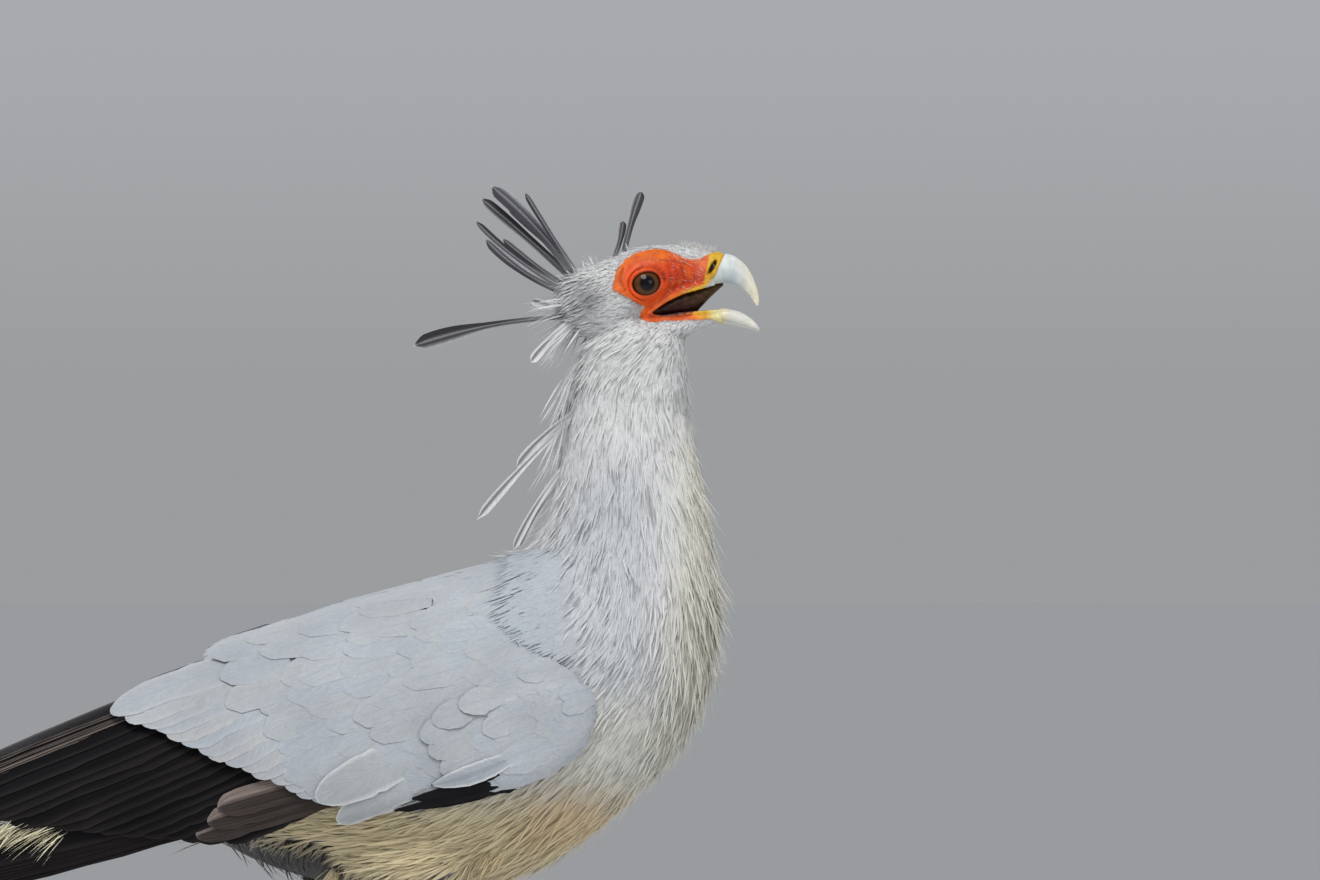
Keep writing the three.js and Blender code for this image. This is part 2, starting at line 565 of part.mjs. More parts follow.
// A shape of revolution about the eye's axis, from the ball's middle outwards.
function aboutEye(profile, side, segments) {
  const turned = new THREE.LatheGeometry(profile.map(([r, d]) => new THREE.Vector2(r, d)), segments);
  const axis = v3(Math.sin(rad(EYE.forward)), side * Math.cos(rad(EYE.forward)), 0);
  turned.applyQuaternion(new THREE.Quaternion().setFromUnitVectors(v3(0, 1, 0), axis));
  turned.translate(EYE.x, side * EYE.y, EYE.z);
  const whole = solid(turned);
  return whole.volume() < 0 ? solid(flipped(turned)) : whole;
}
function flipped(geometry) {
  const index = Array.from(geometry.index.array);
  for (let i = 0; i < index.length; i += 3) [index[i + 1], index[i + 2]] = [index[i + 2], index[i + 1]];
  return geometry.clone().setIndex(index);
}
function eyeball(side, grow) {
  const radius = EYE.radius + grow;
  const rim = Math.asin((EYE.opening + 0.9) / EYE.radius);
  const profile = [[0, EYE.back - grow], [radius * Math.sin(rim), EYE.back - grow]];
  for (let i = 4; i >= 0; i -= 1) {
    const angle = (rim * i) / 4;
    profile.push([radius * Math.sin(angle), radius * Math.cos(angle)]);
  }
  profile[profile.length - 1][0] = 0;
  return aboutEye(profile, side, 16);
}
function lidRing(side) {
  const profile = [];
  for (let i = 0; i <= 6; i += 1) {
    const angle = (2 * Math.PI * i) / 6;
    profile.push([LID.ring + LID.thick * Math.cos(angle), LID.depth + LID.thick * Math.sin(angle)]);
  }
  return aboutEye(profile, side, 16);
}
function lidFunnel(side) {
  const profile = [[0, 6], [EYE.opening - 0.4, 6], [LID.ring + 2.4, 11.5], [LID.ring + 2.4, 15], [0, 15]];
  return aboutEye(profile, side, 16);
}
function nostril(side) {
  const shape = new THREE.SphereGeometry(1, 10, 6);
  shape.scale(NOSTRIL.slim, NOSTRIL.deep, NOSTRIL.long);
  shape.rotateY(rad(NOSTRIL.lean));
  shape.translate(NOSTRIL.x, side * NOSTRIL.y, NOSTRIL.z);
  return solid(shape);
}

const skins = {
  white: new THREE.MeshStandardMaterial({ color: 0xdfe2e6, roughness: 0.85, metalness: 0 }),
  grey: new THREE.MeshStandardMaterial({ color: 0xb9c0ca, roughness: 0.7, metalness: 0 }),
  black: new THREE.MeshStandardMaterial({ color: 0x17161a, roughness: 0.6, metalness: 0 }),
  horn: new THREE.MeshStandardMaterial({ color: 0xd5dde0, roughness: 0.35, metalness: 0 }),
  eye: new THREE.MeshStandardMaterial({ color: 0x2a1710, roughness: 0.08, metalness: 0 }),
  tongue: new THREE.MeshStandardMaterial({ color: 0x7c4640, roughness: 0.5, metalness: 0 }),
  leg: new THREE.MeshStandardMaterial({ color: 0xc9a48c, roughness: 0.7, metalness: 0 }),
  claw: new THREE.MeshStandardMaterial({ color: 0x2c2724, roughness: 0.4, metalness: 0 }),
};
const bird = new THREE.Group();
function add(name, whole, material) {
  const mesh = new THREE.Mesh(geometryOf(whole), skins[material]);
  mesh.name = name;
  bird.add(mesh);
}

// Neck and torso, parted by thin cuts.
const AROUND = 22;
const gapAlong = GAP / 14;
const tailCut = BODY.length - 1;
const torsoWhole = solid(bodyLength(CHEST_CUT + gapAlong, tailCut, 18, AROUND));
const torsoGrown = solid(bodyLength(CHEST_CUT + gapAlong, tailCut, 18, AROUND, GAP, 0.5));
const upperNeck = solid(bodyLength(HEAD_CUT + gapAlong, NECK_CUT, 5, AROUND));
const lowerNeck = solid(bodyLength(NECK_CUT + gapAlong, CHEST_CUT, 5, AROUND));
const upperNeckGrown = solid(bodyLength(HEAD_CUT + gapAlong, NECK_CUT, 5, AROUND, GAP, gapAlong));
const lowerNeckGrown = solid(bodyLength(NECK_CUT + gapAlong, CHEST_CUT, 5, AROUND, GAP, gapAlong));
const feathersClearOf = (rows, neighbours) => rows.map((row) =>
  neighbours.reduce((feather, one) => feather.subtract(one), crestFeather(row)));

// The head, with the mouth, the nostrils, the sockets, the lids and the crest.
const mouthHollow = joined([
  solid(leaning(PALATE, 6, 10)),
  solid(leaning(MOUTH_FLOOR, 6, 10)),
  solid(leaning(TONGUE, 5, 8, GAP)),
]);
const skull = joined([
  solid(leaning(CRANIUM, 15, 20)),
  solid(leaning(JAW, 9, 14)).subtract(upperNeckGrown),
  solid(bodyLength(0, HEAD_CUT, 3, AROUND)),
]);
let head = skull.subtract(mouthHollow);
for (const side of [-1, 1]) {
  head = head.subtract(lidFunnel(side)).add(lidRing(side)).subtract(eyeball(side, GAP)).subtract(nostril(side));
}
head = joined([head, ...feathersClearOf(CREST, [upperNeckGrown])]);

add("head", head, "white");
add("bill_upper", solid(leaning(UPPER_BILL, 10, 14)), "horn");
add("bill_lower", solid(leaning(LOWER_BILL, 8, 12)), "horn");
add("tongue", solid(leaning(TONGUE, 5, 8)), "tongue");
add("eye_right", eyeball(-1, 0), "eye");
add("eye_left", eyeball(1, 0), "eye");
add("neck_upper", joined([upperNeck, ...feathersClearOf(NAPE, [lowerNeckGrown, torsoGrown])]), "white");
add("neck_lower", joined([lowerNeck, ...feathersClearOf(LOW_NAPE, [upperNeckGrown, torsoGrown])]), "white");

// Legs.
const thighGrown = [];
for (const leg of LEGS) {
  const legX = (z) => (z > HOCK_Z
    ? THREE.MathUtils.lerp(leg.hock, leg.hip, (z - HOCK_Z) / (THIGH_TOP_Z - HOCK_Z))
    : THREE.MathUtils.lerp(leg.foot, leg.hock, z / HOCK_Z));
  const side = Math.sign(leg.y);
  const upright = v3(1, 0, 0);
  const limb = (stations, rings, around, grow = 0) => solid(loft(
    Array.from({ length: rings }, (_, i) => {
      const s = between(stations, ((stations.length - 1) * i) / (rings - 1));
      const y = leg.y + side * (s.out ?? 0);
      return oval(v3(legX(s.z), y, s.z), upright, s.deep + grow, s.wide + grow, around);
    }),
  ));
  const thigh = limb(THIGH, 10, 16).subtract(torsoGrown);
  thighGrown.push(limb(THIGH, 10, 16, GAP));
  add(`thigh_${leg.side}`, thigh, "black");
  add(`shank_${leg.side}`, limb(SHANK, 13, 12), "leg");

  const ankleX = legX(ANKLE.z);
  const flatOnFloor = (p) => v3(p.x, p.y, Math.max(p.z, 0));
  const toeParts = [];
  for (const toe of TOES) {
    const turn = rad(toe.name === "hind" ? toe.angle : side * -toe.angle);
    const heading = v3(Math.cos(turn), Math.sin(turn), 0);
    const beside = v3(-heading.y, heading.x, 0);
    const steps = 6;
    const rings = Array.from({ length: steps + 1 }, (_, i) => {
      const f = i / steps;
      const pad = 1 + 0.1 * Math.cos(f * Math.PI * 5);
      const half = toe.thick * (1 - 0.3 * f) * pad;
      const height = THREE.MathUtils.lerp(14, toe.thick * 0.78, Math.min(f * 2.2, 1));
      const centre = v3(ankleX, leg.y, height * 0.72).addScaledVector(heading, f * toe.length);
      return Array.from({ length: 8 }, (_, j) => {
        const angle = (2 * Math.PI * (j + 0.5)) / 8;
        const p = centre.clone().addScaledVector(beside, half * Math.cos(angle));
        p.z += height * 0.9 * Math.sin(angle);
        return flatOnFloor(p);
      });
    });
    toeParts.push(solid(loft(rings)));
    const clawStart = v3(ankleX, leg.y, 0).addScaledVector(heading, toe.length + GAP);
    const clawRings = Array.from({ length: 5 }, (_, i) => {
      const f = i / 4;
      const bend = rad(8 + 62 * f);
      const size = THREE.MathUtils.lerp(0.42 * toe.thick, 0.45, f);
      const reach = toe.claw * 0.86 * Math.sin(rad(70) * f) / Math.sin(rad(70));
      const drop = toe.thick * 0.55 - 3.2 * f ** 2 + 0.9 * Math.sin(Math.PI * f);
      const centre = clawStart.clone().addScaledVector(heading, reach).setZ(Math.max(drop, size + 0.4));
      const up = v3(heading.x * Math.sin(bend) * (f > 0 ? 1 : 0), heading.y * Math.sin(bend) * (f > 0 ? 1 : 0), Math.cos(bend * (f > 0 ? 1 : 0)));
      return Array.from({ length: 8 }, (_, j) => {
        const angle = (2 * Math.PI * (j + 0.5)) / 8;
        return centre.clone().addScaledVector(beside, size * 0.8 * Math.cos(angle)).addScaledVector(up, size * Math.sin(angle));
      });
    });
    add(`claw_${leg.side}_${toe.name}`, solid(loft(clawRings)), "claw");
  }
  const ankle = solid(loft(Array.from({ length: 6 }, (_, i) => {
    const z = THREE.MathUtils.lerp(2, SHANK[SHANK.length - 1].z - GAP, i / 5);
    const swell = Math.sqrt(Math.max(1 - ((z - ANKLE.z) / 22) ** 2, 0.05));
    return oval(v3(legX(z), leg.y, z), upright, ANKLE.deep * swell, ANKLE.wide * swell, 12);
  })));
  add(`foot_${leg.side}`, joined([ankle, ...toeParts]), "leg");
}

// Torso, wings and tail.
add("torso", torsoWhole, "white");
const wing = joined([
  shield(),
  ...[SCAPULARS, GREATER_COVERTS, SECONDARIES, PRIMARIES, THUMB, LOOSE_COVERTS].flatMap(wingRow),
]);
const mirroredWing = solid(flipped(geometryOf(wing).scale(1, -1, 1)));
add("wing_right", mirroredWing.subtract(torsoGrown).subtract(thighGrown[0]), "grey");
add("wing_left", wing.subtract(torsoGrown).subtract(thighGrown[1]), "grey");
add("tail", tail(), "grey");

// The origin goes to the floor under the middle of the outline.
bird.updateMatrixWorld(true);
const outline = new THREE.Box3().setFromObject(bird);
bird.position.set(-(outline.min.x + outline.max.x) / 2, -(outline.min.y + outline.max.y) / 2, -outline.min.z);

export default bird;
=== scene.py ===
# %% [markdown]
# # A secretary bird with its bill open
# The solids of the bird are loaded first, as a frame that nothing here moves or changes.
# Every piece is then made in the bird's own millimetres and laid over the solid it stands for.
# One closed skin carries thousands of thin feathers, and the large feathers are vanes laid in rows.

# %% Load the frame
import math

import bpy
import numpy as np
from mathutils import Matrix, Vector, kdtree
from mathutils.bvhtree import BVHTree


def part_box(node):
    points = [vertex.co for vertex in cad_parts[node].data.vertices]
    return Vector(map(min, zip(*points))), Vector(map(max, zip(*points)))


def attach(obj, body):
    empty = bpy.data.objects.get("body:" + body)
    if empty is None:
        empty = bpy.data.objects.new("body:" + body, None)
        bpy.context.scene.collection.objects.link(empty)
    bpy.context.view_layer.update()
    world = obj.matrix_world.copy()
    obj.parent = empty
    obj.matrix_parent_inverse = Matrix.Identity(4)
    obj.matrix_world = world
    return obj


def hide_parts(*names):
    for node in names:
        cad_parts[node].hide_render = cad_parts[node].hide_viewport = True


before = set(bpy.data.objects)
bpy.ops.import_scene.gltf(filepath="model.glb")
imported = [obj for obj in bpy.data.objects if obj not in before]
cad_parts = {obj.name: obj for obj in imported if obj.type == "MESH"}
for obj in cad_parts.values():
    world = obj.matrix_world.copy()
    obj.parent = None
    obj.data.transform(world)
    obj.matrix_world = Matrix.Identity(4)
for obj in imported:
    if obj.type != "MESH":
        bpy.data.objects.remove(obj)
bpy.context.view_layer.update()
print("solids:", len(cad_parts))

# %% [markdown]
# The bird was drawn in millimetres, with its tongue rooted 33 mm ahead of its own zero.
# The frame puts zero under the middle of the whole outline, so the tongue's solid gives the shift.
# Working in the bird's own numbers keeps every table below readable.

# %% The bird's own millimetres
TONGUE_ROOT = 33.0
SHIFT = np.array([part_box("tongue")[0].x * 1000 - TONGUE_ROOT, 0, 0])
ACROSS = np.array([0.0, 1.0, 0.0])
print("shift in mm:", SHIFT.round(3))


def to_metres(points):
    return (np.asarray(points) + SHIFT) / 1000


def unit(vectors):
    return vectors / np.maximum(np.linalg.norm(vectors, axis=-1, keepdims=True), 1e-9)


def ramp(low, high, value):
    """0 below low, 1 above high, and a soft step between."""
    share = np.clip((value - low) / (high - low), 0, 1)
    return share * share * (3 - 2 * share)


def blend(a, b, share):
    return a + (b - a) * share


def toward(colours, target, share):
    """Moves a list of colours towards another colour, each by a share of its own."""
    return colours + (target - colours) * np.clip(share, 0, 1)[:, None]


def spot(x, z, middle, size):
    """1 at a place of the side view, fading away over a size along and a size up."""
    return np.exp(-(((x - middle[0]) / size[0]) ** 2) - ((z - middle[1]) / size[1]) ** 2)


def between(stations, places):
    """Values at places along a table of stations, by a smooth curve through all of them."""
    stations = np.asarray(stations, float)
    places = np.clip(np.asarray(places, float), 0, len(stations) - 1)
    i = np.minimum(places.astype(int), len(stations) - 2)
    f = (places - i)[..., None]
    p, q, r, s = (stations[np.clip(i + k, 0, len(stations) - 1)] for k in (-1, 0, 1, 2))
    return q + 0.5 * f * (r - p + f * (2 * p - 5 * q + 4 * r - s + f * (3 * (q - r) + s - p)))


def place_in(stations, value):
    """Where a value lies along a table whose first column falls from row to row."""
    return np.interp(-np.asarray(value), [-row[0] for row in stations], np.arange(len(stations)))


# %% [markdown]
# A mesh is only a list of points and a list of faces that name them.
# Blender takes both as plain arrays, which is far quicker than adding faces one by one.
# A closed shape whose faces point inwards has a negative volume, so the volume tells which way to turn them.

# %% Meshes from arrays
def facing_out(points, faces):
    volume = 0
    for group in faces:
        for k in range(1, group.shape[1] - 1):
            a, b, c = (points[group[:, j]] for j in (0, k, k + 1))
            volume += np.einsum("ij,ij->", a, np.cross(b, c))
    return faces if volume > 0 else [group[:, ::-1] for group in faces]


def new_mesh(name, points, faces):
    mesh = bpy.data.meshes.new(name)
    mesh.vertices.add(len(points))
    mesh.vertices.foreach_set("co", to_metres(points).astype(np.float32).ravel())
    corners = np.concatenate([group.ravel() for group in faces]).astype(np.int32)
    sizes = np.concatenate([np.full(len(group), group.shape[1]) for group in faces])
    mesh.loops.add(len(corners))
    mesh.loops.foreach_set("vertex_index", corners)
    mesh.polygons.add(len(sizes))
    mesh.polygons.foreach_set("loop_start", (np.cumsum(sizes) - sizes).astype(np.int32))
    mesh.polygons.foreach_set("use_smooth", np.ones(len(sizes), bool))
    mesh.update(calc_edges=True)
    return mesh


def new_object(name, mesh):
    thing = bpy.data.objects.new(name, mesh)
    bpy.context.scene.collection.objects.link(thing)
    return thing


def merged(shells):
    """Several shells as one list of points and one list of faces."""
    start, points, faces = 0, [], []
    for shell_points, shell_faces in shells:
        points.append(shell_points)
        faces += [group + start for group in shell_faces]
        start += len(shell_points)
    return np.concatenate(points), faces


def paint(mesh, name, values):
    """Keeps one number, one direction or one colour for each point of a mesh."""
    values = np.asarray(values, np.float32)
    kinds = {1: ("FLOAT", "value"), 3: ("FLOAT_VECTOR", "vector"), 4: ("FLOAT_COLOR", "color")}
    kind, field = kinds[1 if values.ndim == 1 else values.shape[1]]
    mesh.attributes.new(name, kind, "POINT").data.foreach_set(field, values.ravel())


def paint_colour(mesh, name, colours):
    paint(mesh, name, np.column_stack([colours, np.ones(len(colours))]))


def map_points(mesh, places):
    """The map that the colours are baked through, with one place for each point."""
    corners = np.empty(len(mesh.loops), np.int32)
    mesh.loops.foreach_get("vertex_index", corners)
    layer = mesh.uv_layers.new(name="OFBake")
    layer.data.foreach_set("uv", np.asarray(places, np.float32)[corners].ravel())


def edge_ends(mesh):
    """The two points that each edge of a mesh joins."""
    ends = np.empty(len(mesh.edges) * 2, np.int32)
    mesh.edges.foreach_get("vertices", ends)
    return ends.reshape(-1, 2)


def mark_sharp(mesh, chosen):
    """Marks edges sharp, so that the light breaks there and isn't smoothed round them."""
    mesh.attributes.new("sharp_edge", "BOOLEAN", "EDGE").data.foreach_set("value", chosen)


def finished(piece, material, slot, *replaced):
    if material:
        piece.data.materials.append(material)
    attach(piece, "root")
    if replaced:
        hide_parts(*replaced)
    triangles = sum(len(face.vertices) - 2 for face in piece.data.polygons)
    print(f"{piece.name}: {triangles} triangles")
    return piece


# %% [markdown]
# Most of the bird is a row of oval sections joined by a skin, which boat builders call lofting.
# A tube closes each end with a fan of triangles, so it is always one closed body.

# %% Tubes through oval sections
def tube(rings):
    count, around = rings.shape[:2]
    points = np.concatenate([rings.reshape(-1, 3), rings[[0, -1]].mean(axis=1)])
    i, j = np.meshgrid(np.arange(count - 1), np.arange(around), indexing="ij")
    a = i * around + j
    b = i * around + (j + 1) % around
    walls = np.stack([a, b, b + around, a + around], -1).reshape(-1, 4)
    k = np.arange(around)
    first = np.stack([(k + 1) % around, k, np.full(around, count * around)], -1)
    last = (count - 1) * around + np.stack([k, (k + 1) % around, np.full(around, around + 1)], -1)
    return points, facing_out(points, [walls, np.concatenate([first, last])])


def ovals(centres, ups, deep, wide, around):
    angles = 2 * np.pi * (np.arange(around) + 0.5) / around
    rise = np.sin(angles)[None, :, None] * deep[:, None, None] * ups[:, None]
    return centres[:, None] + rise + np.cos(angles)[None, :, None] * wide[:, None, None] * ACROSS


def leaning(stations, rings, around):
    """Sections of the head or bill: each station is x, z, half depth, half width and lean in degrees."""
    x, z, deep, wide, lean = between(stations, np.linspace(0, len(stations) - 1, rings)).T
    lean = np.radians(lean)
    flat = np.zeros_like(x)
    ups = np.stack([np.sin(lean), flat, np.cos(lean)], -1)
    return ovals(np.stack([x, flat, z], -1), ups, deep, wide, around)


def pipe(path, radius, around=10):
    """A round cord of flesh along a path, such as a lip."""
    path = np.asarray(path, float)
    heading = unit(np.gradient(path, axis=0))
    side = unit(np.cross(heading, [0.0, 0.3, 1.0]))
    lift = np.cross(side, heading)
    angles = 2 * np.pi * np.arange(around) / around
    wheel = np.cos(angles)[None, :, None] * side[:, None] + np.sin(angles)[None, :, None] * lift[:, None]
    return tube(path[:, None] + wheel * radius)


# %% [markdown]
# These tables are the bird's measures, the same ones that its solids were made from.
# The body runs from inside the head, down the neck and back to the rump.
# Each row gives a point on the back, the point across from it on the throat or belly, and half the width.

# %% The body's measures
BODY = [
    (-1.2, 953.6, 18.8, 943.6, 19), (-8.8, 936.1, 51.2, 933, 24), (-12.5, 922.3, 55, 921.7, 26.5),
    (-17.5, 894.2, 55.6, 893, 29), (-24.4, 859.8, 61.9, 856.7, 35), (-30.6, 828.6, 69.4, 821.1, 41),
    (-38.8, 808, 73.1, 789.2, 48), (-50, 796.7, 74.4, 750.5, 59), (-67.5, 790.5, 64.4, 700.5, 69),
    (-90.6, 784.8, 28.1, 647.3, 75), (-125, 774.8, -34.4, 599.8, 76), (-168.8, 759.8, -112.5, 581.1, 74),
    (-211.2, 741.1, -187.5, 593.6, 66), (-250, 721.1, -246.9, 616.1, 54), (-292.5, 699.8, -295, 627.3, 42),
    (-334.4, 677.3, -330, 626.1, 32), (-367.5, 662.3, -351.9, 621.1, 23.5),
]
RUMP_PLACE = len(BODY) - 1
CRANIUM = [
    (-23, 952, 5, 5, 0), (-19, 952, 12.5, 12, 0), (-11, 951.5, 20.5, 18.5, 0), (0, 951.5, 26.3, 24.3, 0),
    (13, 955, 28.5, 25.6, 0), (25, 965, 22.5, 24, 0), (37.5, 970, 18.6, 20.8, 2), (50, 973, 15.4, 16.2, 6),
    (61.5, 973.4, 13.2, 12.4, 14), (71.9, 972.4, 11.5, 9.8, 22.4), (73.6, 972.3, 11.2, 9.5, 22.4),
]
JAW = [
    (-2, 931, 9, 15, 0), (9.4, 932, 10.5, 21, 0), (25, 933.8, 10.7, 19.6, 0), (40.6, 935.7, 10.1, 15.6, 0),
    (56.3, 938.6, 7.6, 11.6, 0), (66.9, 941.3, 5.4, 9.2, 0), (76.3, 942.6, 4.7, 7.8, 0),
]
PALATE = [
    (26, 943.5, 2, 10, 0), (34, 949.5, 4, 12, 0), (46, 955.2, 4.5, 10.8, 0), (60, 959.8, 4.2, 8, 0),
    (69, 961, 2.4, 5, 0),
]
MOUTH_FLOOR = [
    (27, 945, 1.8, 11, 0), (36, 945.6, 4.6, 12.6, 0), (50, 946.2, 5, 9.8, 0), (66, 947, 4, 6.4, 0),
    (74, 947.4, 2, 3.8, 0),
]
TONGUE = [
    (33, 942.2, 0.8, 4.4, 0), (42, 942.6, 1.4, 5.2, 0), (54, 943.2, 1.2, 3.6, 0), (63, 944.8, 0.5, 1.2, 0),
]
NECK_COAT = 2.6
HEAD_COAT = 1.5


def body_rings(places, around, grow=0.0):
    back_x, back_z, front_x, front_z, wide = between(BODY, places).T
    flat = np.zeros_like(back_x)
    back = np.stack([back_x, flat, back_z], -1)
    front = np.stack([front_x, flat, front_z], -1)
    deep = np.linalg.norm(back - front, axis=1) / 2
    return ovals((back + front) / 2, unit(back - front), deep + grow, wide + grow, around)


# %% [markdown]
# The thighs are long trousers of black feathers. The bird stands with one foot a little ahead of the other.
# Each leg leans from the hip to the hock and back again to the foot.

# %% The legs' measures
LEGS = {
    "right": {"side": -1, "y": -46, "hip": -112, "hock": -146, "foot": -116},
    "left": {"side": 1, "y": 46, "hip": -136, "hock": -190, "foot": -166},
}
HOCK_Z = 342
THIGH = [
    (668, 40, 20, -14), (620, 44, 25, -7), (570, 37, 26.5, -3), (510, 27, 22, 0), (450, 19.5, 17, 0),
    (408, 13.5, 12.5, 0), (392, 9, 8.5, 0),
]
THIGH_TOP_Z = THIGH[0][0]
THIGH_COAT = 3.5


def leg_x(leg, z):
    upper = blend(leg["hock"], leg["hip"], (z - HOCK_Z) / (THIGH_TOP_Z - HOCK_Z))
    lower = blend(leg["foot"], leg["hock"], z / HOCK_Z)
    return np.where(z > HOCK_Z, upper, lower)


def limb_rings(leg, stations, rings, around, grow=0.0):
    """Level sections down a leg. A station is z, half depth, half width and how far the limb stands out."""
    z, deep, wide, out = between(stations, np.linspace(0, len(stations) - 1, rings)).T
    centres = np.stack([leg_x(leg, z), leg["y"] + leg["side"] * out, z], -1)
    ahead = np.tile([1.0, 0.0, 0.0], (rings, 1))
    return ovals(centres, ahead, deep + grow, wide + grow, around)


# %% [markdown]
# The eye is a ball that sits deep in the head and looks out and a little forward.
# All that surrounds it, the socket, the lids and the lashes, is placed about the same axis.

# %% The eye's place
EYE = {"x": 27.3, "y": 12.6, "z": 963.8, "radius": 11.5, "forward": 12}


def eye_frame(side):
    """Middle of the ball, the way it looks, and the two directions across it: forward and up."""
    turn = math.radians(EYE["forward"])
    axis = np.array([math.sin(turn), side * math.cos(turn), 0])
    ahead = np.array([math.cos(turn), -side * math.sin(turn), 0])
    return np.array([EYE["x"], side * EYE["y"], EYE["z"]]), axis, ahead, np.array([0.0, 0.0, 1.0])


def about_eye(side, radii, heights, around):
    """Circles about the eye's axis, each with its own radius and height along the axis."""
    middle, axis, ahead, up = eye_frame(side)
    angles = 2 * np.pi * np.arange(around) / around
    wheel = np.cos(angles)[:, None] * ahead + np.sin(angles)[:, None] * up
    radii, heights = np.asarray(radii, float), np.asarray(heights, float)
    return middle + radii[:, None, None] * wheel + heights[:, None, None] * axis


SOCKET = [(9.4, 3.5), (10.8, 7), (12, 9.5), (12.2, 18)]
NOSTRIL = {"x": 70.4, "z": 974.4, "y": 10.0, "long": 7.2, "slim": 1.75, "deep": 4.4, "lean": 29}


def nostril(side):
    """A slanted slit in the side of the cere, as a stretched ball."""
    angles = np.linspace(0.05, np.pi - 0.05, 14)
    lean = math.radians(NOSTRIL["lean"])
    tall = np.array([math.sin(lean), 0, math.cos(lean)])
    ahead = np.array([math.cos(lean), 0, -math.sin(lean)])
    middle = np.array([NOSTRIL["x"], side * NOSTRIL["y"], NOSTRIL["z"]])
    turn = 2 * np.pi * np.arange(16) / 16
    wheel = np.cos(turn)[:, None] * ahead * NOSTRIL["slim"] + np.sin(turn)[:, None] * ACROSS * NOSTRIL["deep"]
    heights = (np.cos(angles) * NOSTRIL["long"])[:, None, None] * tall
    return tube(middle + heights + np.sin(angles)[:, None, None] * wheel)


# %% [markdown]
# Overlapping tubes become one skin by voxel remeshing: the space is cut into small cubes, and a new
# surface is drawn between the cubes that lie inside and outside. It gives even squares and soft joins.
# The mouth, the sockets and the nostrils are cut out with the Boolean modifier.
# The head gets squares of less than a millimetre, because its bare face is seen from close by.

# %% Remeshing and cutting
HEAD_SQUARE = 0.8
BODY_SQUARE = 3.0


def applied(thing):
    """Replaces an object's mesh by what its modifiers make of it."""
    shown = thing.evaluated_get(bpy.context.evaluated_depsgraph_get())
    mesh = bpy.data.meshes.new_from_object(shown)
    thing.modifiers.clear()
    thing.data = mesh
    return thing


def remeshed(thing, square, smoothing=0):
    remesh = thing.modifiers.new("Even squares", "REMESH")
    remesh.mode = "VOXEL"
    remesh.voxel_size = square / 1000
    if smoothing:
        soften = thing.modifiers.new("Soften", "SMOOTH")
        soften.iterations = smoothing
    return applied(thing)


def combined(thing, tool, operation):
    join = thing.modifiers.new("Combine", "BOOLEAN")
    join.operation = operation
    join.object = tool
    join.solver = "MANIFOLD"
    applied(thing)
    bpy.data.objects.remove(tool)
    return thing


def shell_object(name, shells):
    return new_object(name, new_mesh(name, *merged(shells)))


# %% [markdown]
# Round the open mouth runs a raised lip, along the upper jaw to the corner and back along the lower.
# It is a cord of flesh that the remeshing melts into the jaws. A flat band of flesh behind each cord
# joins it to the jaw, so that the cheek runs down to the lip without a gap.

# %% The lips' measures
UPPER_LIP = [
    (72, 6.6, 963.8), (66, 7.8, 962.2), (60, 8.8, 960.4), (51, 10.2, 957.6), (41, 12.2, 952.8),
    (35, 13.6, 948.8),
]
LIP_CORNER = [(31, 14.6, 946), (30, 14.7, 945), (31, 14.4, 944.1)]
LOWER_LIP = [
    (36, 12.2, 943.2), (41, 10.8, 943.3), (51, 9, 944.9), (61, 7.6, 945.7), (71, 6.2, 946.4), (77, 5, 946.8),
]
LIP_RADIUS = 1.25
CHEEK_PADS = [
    ((26.5, 11.9, 948.2), (4.5, 3.4, 6.5)), ((34.8, 11.4, 952.8), (3.8, 2.6, 3.3)),
    ((31.6, 12.3, 951), (3.6, 2.5, 2.5)), ((29.5, 12.3, 942.6), (3.2, 2.4, 2.2)),
]


def lip(side):
    path = np.array([*UPPER_LIP, *LIP_CORNER, *LOWER_LIP], float)
    path[:, 1] *= side
    return pipe(between(path, np.linspace(0, len(path) - 1, 90)), LIP_RADIUS)


def lip_band(side, path, rise, tall):
    """The flat band between a lip and its jaw. rise is how far its middle lies above the lip."""
    path = between(path, np.linspace(0, len(path) - 1, 60))
    middle = path * (1, side, 1) + (0, -0.5 * side, rise)
    angles = 2 * np.pi * np.arange(16) / 16
    section = np.cos(angles)[:, None] * ACROSS * 1.5 + np.sin(angles)[:, None] * np.array([0, 0, tall])
    return tube(middle[:, None] + section)


def pad_of_flesh(middle, half_sizes):
    """A rounded pad that fills a pocket between the cheek and the corner of the mouth."""
    ball = np.linspace(0.05, np.pi - 0.05, 16)
    turn = 2 * np.pi * np.arange(20) / 20
    flat = np.stack([0 * turn, half_sizes[1] * np.cos(turn), half_sizes[2] * np.sin(turn)], -1)
    ahead = np.cos(ball)[:, None, None] * np.array([half_sizes[0], 0, 0])
    return tube(np.array(middle) + ahead + np.sin(ball)[:, None, None] * flat)


# %% The head and the body as one skin
skull = [
    tube(leaning(CRANIUM, 60, 72)),
    tube(leaning(JAW, 50, 56)),
    tube(body_rings(np.linspace(0, 3.2, 30), 72, -HEAD_COAT)),
]
skin = remeshed(shell_object("skin", skull), HEAD_SQUARE)
hollows = [tube(leaning(PALATE, 40, 40)), tube(leaning(MOUTH_FLOOR, 40, 40))]
hollows += [tube(about_eye(side, *np.array(SOCKET).T, 48)) for side in (-1, 1)]
hollows += [nostril(side) for side in (-1, 1)]
skin = combined(skin, remeshed(shell_object("hollows", hollows), HEAD_SQUARE * 0.7), "DIFFERENCE")
lips = [lip(side) for side in (-1, 1)]
lips += [lip_band(side, UPPER_LIP, 2.6, 3.4) for side in (-1, 1)]
lips += [lip_band(side, LOWER_LIP[:-1], -2.2, 3.0) for side in (-1, 1)]
for side in (-1, 1):
    lips += [pad_of_flesh((x, y * side, z), half_sizes) for (x, y, z), half_sizes in CHEEK_PADS]
